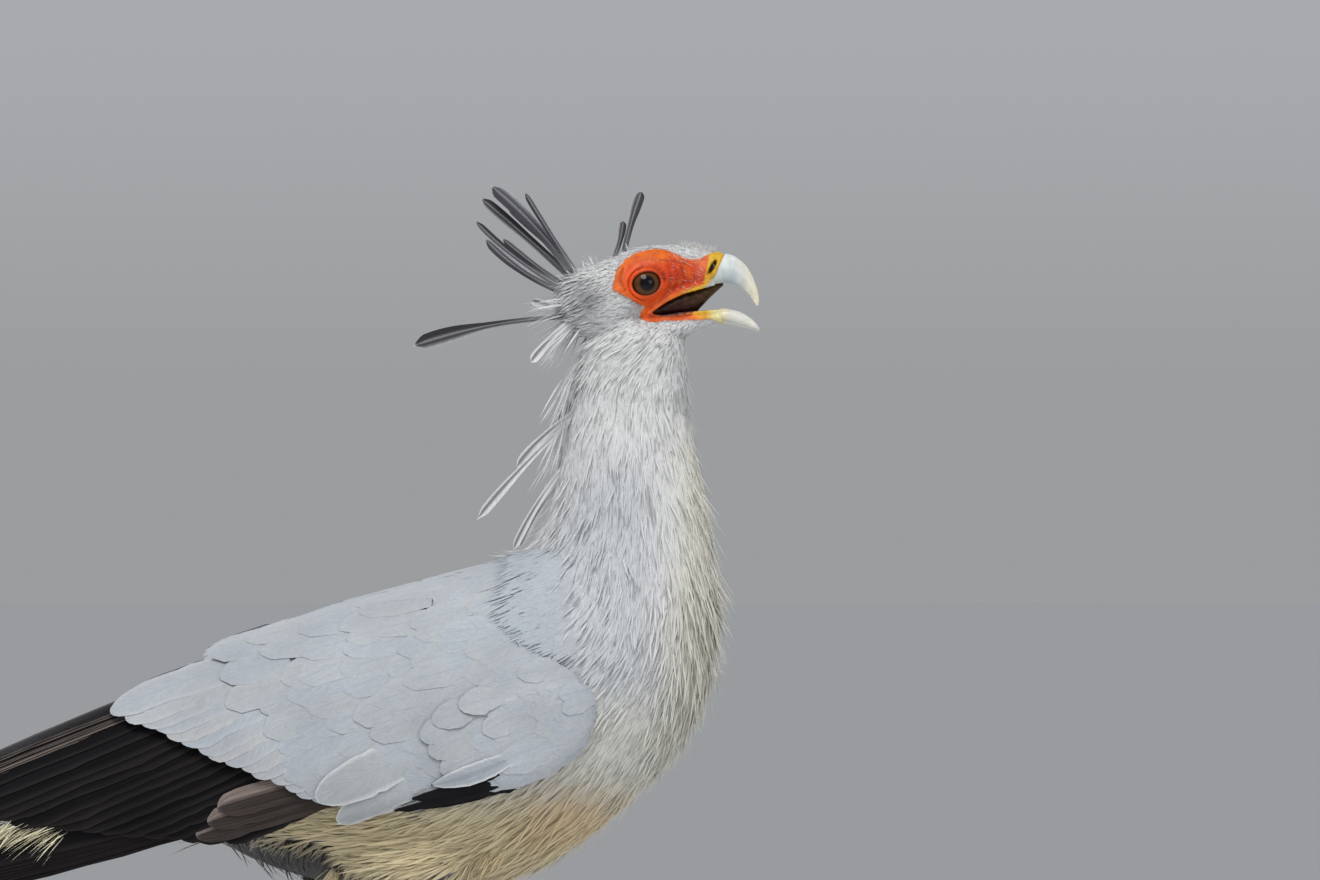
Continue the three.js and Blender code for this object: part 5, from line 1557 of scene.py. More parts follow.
mantle = Plumes()
rng = np.random.default_rng(31)
x = -14.0
while x > -216:
    back = ramp(-20, -200, x)
    half = 7.0 + 5.0 * back
    limit = float(mantle_reach(np.array(x)))
    count = max(int(2 * limit * 88 / (half * 1.1)), 5)
    for n in range(count):
        angle = ((n + rng.uniform(0.25, 0.75)) / count * 2 - 1) * limit
        long = min((20 + 24 * back) * rng.uniform(0.85, 1.15), x + 246)
        mantle_feather(mantle, x + rng.normal(0, 1.2), angle, long, half, covert_colour(rng), rng)
    x -= 5.0 + 6.0 * back
sheet = mantle_sheet("mantle_sheet")
finished(sheet, covert_finish, "body_feathers", "torso")
cape = new_object("mantle_feathers", mantle.mesh("mantle_feathers"))
finished(cape, covert_finish, "body_feathers", "torso")

# %% [markdown]
# The small feathers of the head, neck and body are soft and frayed, and look like bundles of fine strands.
# Here every strand is a thin closed wedge of sixteen triangles, or of ten on the head. Hair systems would be
# quicker to make, but they are lost when the model is exported, so the strands are real mesh.
# First comes a field that says, for any place on the skin, which way its feathers lie.

# %% The lie of the feathers
hide = skin.data
hide.calc_loop_triangles()
corners = np.empty(len(hide.loop_triangles) * 3, np.int32)
hide.loop_triangles.foreach_get("vertices", corners)
hide_points = mesh_points(hide)
triangles = hide_points[corners.reshape(-1, 3)]
hide_normal = np.cross(triangles[:, 1] - triangles[:, 0], triangles[:, 2] - triangles[:, 0])
hide_area = np.linalg.norm(hide_normal, axis=1) / 2
hide_normal = unit(hide_normal)
hide_middle = triangles.mean(axis=1)
BILL_ROOT = np.array([78.0, 0.0, 956.0])

LOFT_ROWS, LOFT_AROUND = 160, 96
loft = body_rings(np.linspace(0, RUMP_PLACE, LOFT_ROWS), LOFT_AROUND)
loft_lie = unit(np.gradient(loft, axis=0)).reshape(-1, 3)
loft_tree = kdtree.KDTree(len(loft_lie))
for n, point in enumerate(loft.reshape(-1, 3)):
    loft_tree.insert(point, n)
loft_tree.balance()


def body_field(points):
    """The lie, and the place round and along the body, for points on or near the skin."""
    nearest = np.array([loft_tree.find(point)[1] for point in points])
    return loft_lie[nearest], (nearest % LOFT_AROUND + 0.5) / LOFT_AROUND, nearest // LOFT_AROUND / LOFT_ROWS


def lie_of(points, normals):
    lie, around, along = body_field(points)
    head = ramp(900, 938, points[:, 2] + 0.35 * points[:, 0])[:, None]
    lie = blend(lie, unit(points - BILL_ROOT) + np.array([0, 0, -0.25]), head)
    thigh = on_thigh(points)[:, None]
    lie = blend(lie, np.array([-0.12, 0.0, -1.0]), thigh)
    lie = unit(lie - (lie * normals).sum(axis=1, keepdims=True) * normals)
    head_u = np.arctan2(points[:, 1], points[:, 2] - 955) / (2 * np.pi) + 0.5
    around = np.where(head[:, 0] > 0.5, head_u, around)
    along = np.where(head[:, 0] > 0.5, 1 - (points[:, 0] + 35) / 130, 0.02 + 0.96 * along)
    return lie, np.stack([around, along], -1)


# %% [markdown]
# Roots are scattered over the skin's triangles, each as likely as its area and a weight allow.
# A strand walks down the skin in steps: it goes ahead, drops to the nearest place on the skin, and rises a
# little more each time, so that it lies along the body and only its tip stands off.

# %% Scatter and comb
def scatter(count, weight, rng):
    chance = hide_area * weight
    pick = rng.choice(len(chance), count, p=chance / chance.sum())
    a, b = rng.random((2, count, 1))
    fold = a + b > 1
    a, b = np.where(fold, 1 - a, a), np.where(fold, 1 - b, b)
    first, second, third = triangles[pick].transpose(1, 0, 2)
    return first + a * (second - first) + b * (third - first), hide_normal[pick]


STRAND_STEPS = [0.0, 0.34, 0.7, 1.0]
STRAND_WIDTH = [0.55, 1.0, 0.8, 0.0]
SHORT_STEPS = [0.0, 0.45, 1.0]
SHORT_WIDTH = [0.7, 1.0, 0.0]


def strand_step(middle, side, out, half):
    """The points of many strands at one step: one on each side and one raised between, or the tip alone."""
    if half is None:
        return middle[:, None]
    return np.stack([middle + side * half, middle + out * half * 0.4, middle - side * half], 1)


def comb(roots, normals, lie, long, half, lift, turn, curl, steps, widths):
    """Points of many strands that walk down the skin."""
    side = np.cross(normals, lie)
    heading = unit(lie * np.cos(turn)[:, None] + side * np.sin(turn)[:, None])
    at, out = roots.copy(), normals
    rows = []
    for n, step in enumerate(steps):
        if n:
            ahead = at + heading * (long * (step - steps[n - 1]))[:, None]
            hits = [skin_tree.find_nearest(point) for point in ahead]
            fresh = np.array([hit[0] for hit in hits])
            out = unit(out + np.array([hit[1] for hit in hits]))
            heading = unit(fresh - at + 1e-6)
            at = fresh
        side = unit(np.cross(out, heading))
        rise = -0.7 + 1.1 * min(step * 3, 1) + lift * long * step**1.4
        drift = curl * long * step**2
        middle = at + out * rise[:, None] + side * drift[:, None]
        rows.append(strand_step(middle, side, out, None if step == 1.0 else (half * widths[n])[:, None]))
    return np.concatenate(rows, axis=1)


def strands(name, comb_points, patches, tints, steps=STRAND_STEPS):
    """One mesh of strands, with a small patch of the baking map and a colour for each."""
    count, each = comb_points.shape[:2]
    rings = len(steps) - 1
    faces4, faces3 = [], [(0, 2, 1)]
    for n in range(rings - 1):
        for k in range(3):
            a, b = 3 * n + k, 3 * n + (k + 1) % 3
            faces4.append((a, b, b + 3, a + 3))
    last, tip = 3 * (rings - 1), each - 1
    faces3 += [(last, last + 1, tip), (last + 1, last + 2, tip), (last + 2, last, tip)]
    starts = (np.arange(count) * each)[:, None, None]
    quads = (np.array(faces4)[None] + starts).reshape(-1, 4)
    tris = (np.array(faces3)[None] + starts).reshape(-1, 3)
    points = comb_points.reshape(-1, 3)
    mesh = new_mesh(name, points, facing_out(points, [quads, tris]))
    across = np.array([*[-1, 0, 1] * rings, 0.2])
    along = np.array([*np.repeat(steps[:-1], 3) + np.tile([0, 0.1, 0], rings), 1.1]) - 0.5
    patch = np.stack([across * 0.0014, along * 0.0028], -1)
    map_points(mesh, (np.clip(patches, 0.002, 0.998)[:, None] + patch[None]).reshape(-1, 2))
    # Each strand is darker at its root and a trace lighter towards its tip: painted shade among the roots of
    # the coat.
    shade = np.array([*np.repeat([0.88, 1.0, 1.02][:rings], 3), 1.03])
    paint_colour(mesh, "Tint", (tints[:, None] * shade[None, :, None]).reshape(-1, 3))
    sharpen_sides(mesh, each)
    return new_object(name, mesh)


def sharpen_sides(mesh, each):
    """Sharpens both long edges of every strand, so that its upper side is shaded as one soft blade."""
    low, high = np.sort(edge_ends(mesh) % each, axis=1).T
    mark_sharp(mesh, ((high - low == 3) | (high == each - 1)) & (low % 3 != 1))


# %% [markdown]
# The colours of the coat are a function of the place on the body: white on the neck with a cool side,
# cream on the breast, yellow green on the belly, grey behind the eye and sooty black on the thighs.
# One strand in twenty, and on the neck one in eight, is darker: painted shade in the gaps between the
# feathers.

# %% Colours of the coat
NECK_WHITE = np.array([0.68, 0.685, 0.69])
NECK_COOL = np.array([0.52, 0.55, 0.585])
BREAST_CREAM = np.array([0.70, 0.685, 0.60])
BELLY_YELLOW = np.array([0.68, 0.58, 0.36])
RUST = np.array([0.60, 0.38, 0.18])
EAR_GREY = np.array([0.25, 0.255, 0.275])
UNDER_TAIL = np.array([0.74, 0.69, 0.50])


def coat_colours(points, rng):
    x, y, z = points.T
    side = ramp(8, 36, np.abs(y))
    colours = np.tile(NECK_WHITE, (len(x), 1))
    colours = toward(colours, NECK_COOL, 0.8 * side * ramp(885, 840, z) * ramp(45, 20, x))
    colours = toward(colours, BREAST_CREAM, ramp(35, 60, x) * ramp(900, 860, z))
    colours = toward(colours, BREAST_CREAM, 0.7 * ramp(735, 690, z))
    colours = toward(colours, BELLY_YELLOW, ramp(672, 630, z) * ramp(-230, -190, x))
    colours = toward(colours, RUST, 0.5 * spot(x, z, (-10, 640), (26, 20)))
    colours = toward(colours, UNDER_TAIL, ramp(-190, -230, x))
    ear = spot(x, z, (-3, 954), (11, 12)) * ramp(8, 16, np.abs(y))
    colours = toward(colours, EAR_GREY, 0.95 * ear)
    colours = toward(colours, SOOT * 1.2, on_thigh(points))
    # The darker strands are painted shade, drawn as fine lines in the gaps between the feathers.
    gap_shade_strands = rng.random(len(x)) < 0.05 + 0.07 * ramp(730, 800, z)
    tone = rng.normal(1.0, 0.05, len(x)) * np.where(gap_shade_strands, 0.62, 1.0)
    return np.clip(colours * tone[:, None], 0, 0.95)


# %% [markdown]
# Strands of the coat read their colour from the mesh. Sheen gives the soft rim of light that loose
# feathers have, and the roughness is high and a little uneven.

# %% The coat's finish
coat = Finish("soft_feathers", 0.8, Sheen_Weight=0.25, Sheen_Roughness=0.6)
fray = coat.noise(900, 3)
shade = coat.swing(fray, 0.94, 1.05)
coat.set(Base_Color=coat.toned(coat.stored("Tint"), shade))
coat.set(Roughness=coat.swing(fray, 0.72, 0.88), Normal=coat.bump(fray, 0.2, 0.0003))

# %% [markdown]
# Each patch of the coat has its own weight on the skin, length and stiffness. The shortest strands stand at
# the edge of the bare face, the nape is ragged, and the breast and belly are long and loose.
# Nothing grows where the folded wings or the mantle hide the skin.

# %% The patches of the coat
WING_COVER = [
    (-8, 712), (-40, 742), (-90, 760), (-215, 740), (-430, 640), (-588, 541), (-440, 590), (-250, 608),
    (-166, 640), (-94, 650), (-25, 672),
]
x, y, z = hide_middle.T
face_depth = depth_inside(FACE_EDGE, x, z)
feathered = (face_depth < 0.1) | (z < 925)
feathered &= ~(in_hollow(hide_middle, PALATE, 2.2) | in_hollow(hide_middle, MOUTH_FLOOR, 2.2)) | (z < 930)
under_wing = (depth_inside(WING_COVER, x, z) > 9) & (np.abs(y) > 28)
under_mantle = (x < -48) & (z > 700) & (hide_normal[:, 2] > -0.2)
open_skin = feathered & ~under_wing & ~under_mantle
on_head = z + 0.25 * x > 905
thigh_share = on_thigh(hide_middle)
below_place = ~on_head & (thigh_share < 0.5)
neck_low = z > 795
rump = x < -200

PATCHES = {
    "head": dict(count=17000, parts=1, weight=open_skin & on_head, rings=2),
    "neck": dict(count=20000, parts=2, weight=open_skin & below_place & neck_low & ~rump, rings=3),
    "breast": dict(count=17000, parts=2, weight=open_skin & below_place & ~neck_low & (x > -15), rings=3),
    "belly": dict(
        count=9000, parts=1, weight=open_skin & below_place & ~neck_low & (x <= -15) & ~rump, rings=3
    ),
    "rump": dict(count=5500, parts=1, weight=open_skin & below_place & rump, rings=3),
    "thigh_right": dict(count=5000, parts=1, weight=open_skin & (thigh_share >= 0.5) & (y < 0), rings=3),
    "thigh_left": dict(count=5000, parts=1, weight=open_skin & (thigh_share >= 0.5) & (y > 0), rings=3),
}


def strand_sizes(name, roots):
    """Length, half width, lift and the chance of a stray strand, for each root."""
    x, _, z = roots.T
    ones = np.ones(len(x))
    if name == "head":
        edge = -depth_inside(FACE_EDGE, x, z)
        nape = ramp(0, -22, x)
        crown = spot(x, z, (-11, 971), (9, 7))
        long = np.minimum(3.2 + 0.42 * np.maximum(edge, 0), 9) + 4 * nape + 4 * ramp(945, 925, z) + 5 * crown
        return long, 0.34 + 0.014 * long, 0.07 + 0.22 * nape + 0.30 * crown, 0.04 + 0.25 * nape
    if name == "neck":
        nape = ramp(0.0, 1.0, (-(x - (-30 + 0.22 * (z - 830))) - 6) / 14)
        long = (15 + 8 * ramp(890, 820, z)) * (1 + 0.3 * nape)
        return long, 0.55 * ones, 0.045 + 0.10 * nape, 0.02 + 0.12 * nape
    if name == "breast":
        front = ramp(30, 65, x)
        return 20 + 5 * front, 0.66 * ones, 0.055 + 0.06 * front, 0.03 + 0.09 * front
    if name == "belly":
        return 24 * ones, 0.68 * ones, 0.10 * ones, 0.08 * ones
    if name == "rump":
        return 30 * ones, 0.75 * ones, 0.10 * ones, 0.08 * ones
    return 15 + 9 * ramp(430, 520, z), 0.62 * ones, 0.05 * ones, 0.03 * ones


for n, (name, patch) in enumerate(PATCHES.items()):
    rng = np.random.default_rng(100 + n)
    roots, normals = scatter(patch["count"], patch["weight"].astype(float), rng)
    lie, places = lie_of(roots, normals)
    long, half, lift, stray = strand_sizes(name, roots)
    count = len(roots)
    long = long * rng.uniform(0.75, 1.2, count)
    half = half * rng.uniform(0.75, 1.25, count)
    lift = lift * rng.uniform(0.3, 1.5, count)
    lift += np.where(rng.random(count) < stray, rng.uniform(0.1, 0.4, count), 0)
    turn = 0.10 * waves(roots, 14, 7) + 0.10 * waves(roots, 5, 8) + rng.normal(0, 0.07, count)
    curl = rng.normal(0, 0.045, count) - 0.05 * waves(roots, 7, 9)
    short = patch["rings"] == 2
    steps, widths = (SHORT_STEPS, SHORT_WIDTH) if short else (STRAND_STEPS, STRAND_WIDTH)
    combed = comb(roots, normals, lie, long, half, lift, turn, curl, steps, widths)
    tints = coat_colours(roots, rng)
    for part in range(patch["parts"]):
        mine = slice(part, None, patch["parts"])
        title = f"coat_{name}" + (f"_{part + 1}" if patch["parts"] > 1 else "")
        piece = strands(title, combed[mine], places[mine], tints[mine], steps)
        slot = {"head": "head_feathers", "thigh": "thigh_feathers"}.get(name.split("_")[0], "body_feathers")
        finished(piece, coat.material, slot)

# %% [markdown]
# Where the neck meets the mantle its long strands run on over the first grey feathers.
# These strands are laid straight on the arched surface of the back, so no search for the skin is needed.

# %% The strands over the mantle's front
def front_strands(count, rng):
    x = 12 - 66 * rng.beta(1.3, 2.0, count)
    angle = rng.uniform(-1, 1, count) * np.interp(x, [-54, -25, 12], [0.95, 1.2, 1.3])
    long = rng.uniform(12, 26, count)
    half = rng.uniform(0.4, 0.8, count)
    turn = 0.12 * np.sign(angle) + 0.06 * waves(np.stack([x, 60 * angle, 0 * x], -1), 12, 5)
    turn += rng.normal(0, 0.05, count)
    rows = []
    for step, wide in zip(STRAND_STEPS, STRAND_WIDTH):
        at_x = x - long * step
        at_angle = angle + turn * long * step / 40
        rise = -0.9 + 1.35 * min(step * 3, 1) + 0.006 * long * step
        middle = back_at(at_x, at_angle, -rise)
        out = back_out(at_x, at_angle)
        side = unit(np.cross(out, back_at(at_x - 1, at_angle + turn / 40, -rise) - middle))
        rows.append(strand_step(middle, side, out, None if step == 1.0 else (half * wide)[:, None]))
    grey = ramp(12, -30, x + rng.normal(0, 6, count))[:, None]
    tints = blend(NECK_COOL * 0.95 + 0 * grey, COVERT_GREY * 1.02, grey) * rng.normal(1, 0.04, count)[:, None]
    places = np.stack([0.5 + angle / 3, 0.1 - x / 60 * 0.8], -1)
    return np.concatenate(rows, axis=1), places, np.clip(tints, 0, 0.95)


piece = strands("coat_mantle_front", *front_strands(5200, np.random.default_rng(77)))
finished(piece, coat.material, "body_feathers")

# %% [markdown]
# Some things sit loose in the air instead of lying along the skin: the ragged tufts of the nape, the fluff of
# the belly and under the tail, and the stray feathers of the breast. Each tuft is a spray of strands from
# one root, with a way to go, a length, and how far it spreads. Gravity bends the tips down a little.

# %% Tufts
TUFT_HALF = 0.42
TUFTS = {
    "white": [
        ((-17, 9, 955), (-1.0, 0.3, 0.12), 26, 16, 0.16), ((-18, -8, 951), (-1.0, -0.25, 0.02), 28, 18, 0.15),
        ((-18, -3, 946), (-1.0, 0.0, -0.12), 26, 16, 0.16), ((-17, 6, 941), (-1.0, 0.2, -0.55), 27, 16, 0.14),
        ((-16, -9, 938), (-0.9, -0.2, -0.75), 32, 22, 0.12),
        ((-16, -2, 933), (-0.75, 0.0, -0.9), 28, 18, 0.14),
        ((-11, -5, 967), (-0.6, -0.2, 0.75), 14, 12, 0.28), ((-4, 4, 973), (-0.45, 0.1, 0.9), 11, 12, 0.28),
        ((-15, 3, 962), (-0.9, 0.1, 0.45), 20, 14, 0.2), ((18, -2, 981), (-0.5, 0.0, 0.9), 8, 8, 0.25),
        ((-19, -12, 905), (-0.45, -0.2, -1.0), 30, 18, 0.13),
        ((-20, 6, 893), (-0.5, 0.1, -1.0), 34, 18, 0.12),
        ((-22, -8, 876), (-0.42, -0.1, -1.0), 34, 16, 0.13),
        ((-24, 4, 862), (-0.45, 0.0, -1.0), 34, 16, 0.13),
    ],
    "cream": [
        ((61, -8, 729), (0.9, -0.2, -0.35), 17, 14, 0.25), ((64, 6, 742), (0.9, 0.2, -0.5), 15, 12, 0.22),
        ((67, -14, 770), (0.75, -0.3, -0.9), 18, 12, 0.2), ((53, -6, 700), (0.8, -0.2, -0.8), 18, 14, 0.22),
    ],
    "grey": [((-48, -79, 738), (-0.55, -0.25, 0.8), 15, 14, 0.3)],
    "belly": [],
    "fluff": [],
}
TUFT_COLOURS = {
    "white": NECK_WHITE, "cream": BREAST_CREAM, "grey": COVERT_GREY * 1.3, "belly": BELLY_YELLOW * 1.1,
    "fluff": UNDER_TAIL * 1.08,
}
rng = np.random.default_rng(55)
for n in range(22):
    low = np.interp(n, [0, 6, 22], [612, 604, 598])
    place = (-62 - 5.0 * n + rng.normal(0, 3), -rng.uniform(8, 50), low)
    TUFTS["belly"].append((place, (-0.5, -0.1, -0.75), rng.uniform(16, 26), 14, 0.22))
for n in range(16):
    place = (-330 - 3.4 * n, -rng.uniform(56.5, 58.5), 624 + 0.25 * n + rng.normal(0, 2))
    TUFTS["fluff"].append((place, (-0.85, -0.03, rng.uniform(-0.7, -0.3)), rng.uniform(20, 30), 18, 0.13))


def spray(root, way, long, count, spread, rng):
    """The strands of one tuft, which start close together and spread."""
    heading = unit(unit(np.array(way, float)) + rng.normal(0, spread, (count, 3)))
    side = unit(np.cross(heading, rng.normal(0, 0.4, (count, 3)) + np.array([0.0, -0.3, 1.0])))
    out = np.cross(side, heading)
    start = np.array(root, float) + rng.normal(0, 1.6, (count, 3))
    length = long * rng.uniform(0.55, 1.1, count)
    rows = []
    for step, wide in zip(STRAND_STEPS, STRAND_WIDTH):
        at = start + heading * (length * step)[:, None] - np.array([0, 0, 0.12]) * (length * step**2)[:, None]
        rows.append(strand_step(at, side, out, None if step == 1.0 else TUFT_HALF * wide))
    return np.concatenate(rows, axis=1)


sprays, tints = [], []
for kind, tufts in TUFTS.items():
    for root, way, long, count, spread in tufts:
        sprays.append(spray(root, way, long, count, spread, rng))
        tints.append(TUFT_COLOURS[kind] * rng.normal(1.0, 0.06, (count, 1)))
sprays, tints = np.concatenate(sprays), np.clip(np.concatenate(tints), 0, 0.9)
_, around, along = body_field(sprays[:, 1])
places = np.stack([around, 0.02 + 0.96 * along], -1)
finished(strands("coat_tufts", sprays, places, tints), coat.material, "body_feathers")

# %% [markdown]
# A bird's leg below the trousers is tendon and bone under horny skin. The hock is its ankle, and it walks on
# its toes, each with a pad under every joint. The tubes are remeshed to one skin, as the body was.

# %% The legs' measures below the trousers
SHANK = [
    (398, 7.2, 6.4, 0), (391, 7.4, 6.6, 0), (366, 8.6, 7.2, 0), (348, 12, 9.6, 0), (334, 11.8, 9.4, 0),
    (310, 8.2, 6.6, 0), (230, 6.7, 5.6, 0), (120, 6.7, 5.7, 0), (60, 7.8, 7.2, 0), (31, 9.8, 9.6, 0),
    (22, 9.5, 9.5, 0),
]
TOES = {
    "middle": {"long": 66, "turn": 0, "thick": 8.2, "claw": 21},
    "inner": {"long": 44, "turn": 30, "thick": 7.6, "claw": 21},
    "outer": {"long": 48, "turn": -27, "thick": 7.2, "claw": 17},
    "hind": {"long": 25, "turn": 171, "thick": 6.8, "claw": 20},
}
ANKLE_Z = 19.0
LEG_SQUARE = 1.1


def toe_frame(leg, name):
    """Where a toe starts on the floor, the way it points and the way across it."""
    turn = math.radians(TOES[name]["turn"] * (1 if name == "hind" else -leg["side"]))
    start = np.array([float(leg_x(leg, ANKLE_Z)), leg["y"], 0.0])
    heading = np.array([math.cos(turn), math.sin(turn), 0])
    return start, heading, np.array([-math.sin(turn), math.cos(turn), 0])


def toe_height(toe, f):
    return blend(14, toe["thick"] * 0.78, np.minimum(f * 2.2, 1))


def toe_skin(leg, name):
    toe = TOES[name]
    start, heading, beside = toe_frame(leg, name)
    f = np.linspace(0, 1, 40)
    half = toe["thick"] * (1 - 0.3 * f) * (1 + 0.1 * np.cos(5 * np.pi * f))
    height = toe_height(toe, f)
    angles = 2 * np.pi * (np.arange(28) + 0.5) / 28
    middle = start + heading * (f * toe["long"])[:, None] + np.array([0, 0, 0.72]) * height[:, None]
    rise = 0.9 * height[:, None] * np.sin(angles)
    rings = middle[:, None] + beside * (half[:, None] * np.cos(angles))[..., None]
    rings = rings + rise[..., None] * (0, 0, 1)
    rings[..., 2] = np.maximum(rings[..., 2], 0.15)
    return tube(rings)


def ankle_skin(leg):
    z = np.linspace(1.5, 30, 14)
    swell = np.sqrt(np.maximum(1 - ((z - ANKLE_Z) / 22) ** 2, 0.05))
    centres = np.stack([leg_x(leg, z), np.full(14, float(leg["y"])), z], -1)
    return tube(ovals(centres, np.tile([1.0, 0, 0], (14, 1)), 13 * swell, 12.5 * swell, 40))


def claw_horn(leg, name):
    toe = TOES[name]
    start, heading, beside = toe_frame(leg, name)
    f = np.linspace(0, 1, 28)
    size = blend(0.42 * toe["thick"], 0.45, f)
    reach = toe["claw"] * 0.86 * np.sin(math.radians(70) * f) / math.sin(math.radians(70))
    height = np.maximum(toe["thick"] * 0.55 - 3.2 * f**2 + 0.9 * np.sin(np.pi * f), size + 0.4)
    middle = start + heading * (toe["long"] - 1.5 + reach)[:, None] + np.array([0, 0, 1.0]) * height[:, None]
    bend = np.radians(8 + 62 * f)
    up = heading * np.sin(bend)[:, None] + np.array([0, 0, 1.0]) * np.cos(bend)[:, None]
    angles = 2 * np.pi * (np.arange(24) + 0.5) / 24
    narrow = 0.8 - 0.25 * np.clip(-np.sin(angles), 0, 1)
    ring = beside * (np.cos(angles) * narrow)[None, :, None] * size[:, None, None]
    return tube(middle[:, None] + ring + (np.sin(angles)[None, :, None] * size[:, None, None]) * up[:, None])


# %% [markdown]
# Leg skin is pinkish grey brown in soft patches, and cracked into small scales.
# The cells of a Voronoi pattern make the scales, and their edges are grooves in the bump.

# %% Leg skin and claws
leg_finish = Finish("leg_skin", Specular_IOR_Level=0.35, Subsurface_Weight=0.06, Subsurface_Scale=0.002)
small_scales = leg_finish.cells(420.0)
drift = leg_finish.noise(45, 4)
skin_tone = leg_finish.mottled(drift, (0.40, 0.27, 0.21), (0.60, 0.45, 0.37))
scale_tone = leg_finish.range(small_scales, 0.0, 0.55, 1.1, 0.62)
leg_finish.set(Base_Color=leg_finish.toned(skin_tone, scale_tone))
leg_finish.set(Roughness=leg_finish.swing(drift, 0.42, 0.6))
leg_finish.set(Normal=leg_finish.bump(small_scales, -0.7, 0.0008))

claw_finish = Finish("worn_claw", Coat_Weight=0.15, Coat_Roughness=0.35)
growth = claw_finish.noise(600, 4, stretch=(0.25, 0.25, 1.0))
claw_finish.set(Base_Color=claw_finish.mottled(growth, (0.018, 0.015, 0.013), (0.075, 0.06, 0.048)))
claw_finish.set(Roughness=claw_finish.swing(growth, 0.3, 0.5), Normal=claw_finish.bump(growth, 0.35, 0.0004))

for name, leg in LEGS.items():
    shells = [tube(limb_rings(leg, SHANK, 90, 40)), ankle_skin(leg), *(toe_skin(leg, toe) for toe in TOES)]
    piece = remeshed(shell_object("leg_skin_" + name, shells), LEG_SQUARE, 3)
    for face in piece.data.polygons:
        face.use_smooth = True
    finished(piece, leg_finish.material, "leg_skin", "shank_" + name, "foot_" + name)
    piece = shell_object("claws_" + name, [claw_horn(leg, toe) for toe in TOES])
    finished(piece, claw_finish.material, "claw", *(f"claw_{name}_{toe}" for toe in TOES))

# %% [markdown]
# Shields in a row down the shin and over the toes, lashes over the eye and bristles before it are all one
# shape set many times. Geometry Nodes do that: a cloud of points says where, an attribute says how each one
# is turned and how large it is, and Instance on Points sets a copy there.
# The copies are made real at the end, because an exported file keeps no instances.

# %% One tree for shapes that repeat
def repeating_tree(name, inputs, draw_shape, material):
    """A node tree that sets a shape on every point. inputs: the named sizes. draw_shape adds its nodes."""
    tree = bpy.data.node_groups.new(name, "GeometryNodeTree")
    tree.interface.new_socket("Points", in_out="INPUT", socket_type="NodeSocketGeometry")
    for title, value in inputs.items():
        socket = tree.interface.new_socket(title, in_out="INPUT", socket_type="NodeSocketFloat")
        socket.default_value = value
    tree.interface.new_socket("Shapes", in_out="OUTPUT", socket_type="NodeSocketGeometry")

    def node(kind, links=None, **settings):
        made = tree.nodes.new(kind)
        for key, value in settings.items():
            setattr(made, key, value)
        for key, value in (links or {}).items():
            if isinstance(value, bpy.types.NodeSocket):
                tree.links.new(value, made.inputs[key])
            else:
                made.inputs[key].default_value = value
        return made.outputs

    given = node("NodeGroupInput")
    shape = draw_shape(node, given)
    turns = node("GeometryNodeInputNamedAttribute", {"Name": "Turn"}, data_type="FLOAT_VECTOR")["Attribute"]
    sizes = node("GeometryNodeInputNamedAttribute", {"Name": "Size"}, data_type="FLOAT_VECTOR")["Attribute"]
    chance = node("FunctionNodeRandomValue", {"Seed": 7}, data_type="FLOAT")
    uneven = next(out for out in chance if out.enabled)
    spread = node("ShaderNodeMapRange", {"Value": uneven, "To Min": 0.82, "To Max": 1.12})["Result"]
    scale = node("ShaderNodeVectorMath", {0: sizes, "Scale": spread}, operation="SCALE")["Vector"]
    rotation = node("FunctionNodeEulerToRotation", {0: turns})["Rotation"]
    links = {"Points": given["Points"], "Instance": shape, "Rotation": rotation, "Scale": scale}
    copies = node("GeometryNodeInstanceOnPoints", links)["Instances"]
    real = node("GeometryNodeRealizeInstances", {"Geometry": copies})["Geometry"]
    soft = node("GeometryNodeSetShadeSmooth", {"Geometry": real})["Geometry"]
    dressed = node("GeometryNodeSetMaterial", {"Geometry": soft, "Material": material})["Geometry"]
    tree.links.new(dressed, tree.nodes.new("NodeGroupOutput").inputs["Shapes"])
    return tree


def sum_of(node, operation, a, b=0.0):
    """A Math node in a tree for shapes."""
    return node("ShaderNodeMath", {0: a, 1: b}, operation=operation)[0]


def set_on_points(name, tree, sizes_of_shape, points, ahead, out, sizes):
    """One plain mesh of copies: each copy's own x goes ahead, and its own z goes out."""
    out = unit(out - (out * unit(ahead)).sum(axis=1, keepdims=True) * unit(ahead))
    ahead = unit(ahead)
    frames = [np.column_stack([a, np.cross(o, a), o]) for a, o in zip(ahead, out)]
    turns = [Matrix(axes.tolist()).to_euler("XYZ") for axes in frames]
    mesh = bpy.data.meshes.new(name)
    mesh.from_pydata(to_metres(points).tolist(), [], [])
    paint(mesh, "Turn", np.array([tuple(turn) for turn in turns]))
    paint(mesh, "Size", np.asarray(sizes) / 1000)
    thing = new_object(name, mesh)
    setter = thing.modifiers.new("Repeat", "NODES")
    setter.node_group = tree
    for item in tree.interface.items_tree:
        if item.name in sizes_of_shape:
            setter[item.identifier] = sizes_of_shape[item.name]
    return applied(thing)


# %% [markdown]
# A shield is a small box with many squares, bent round the shin and thinned to its rim.
# It is as wide as 1, so the size kept with each point is its real size.

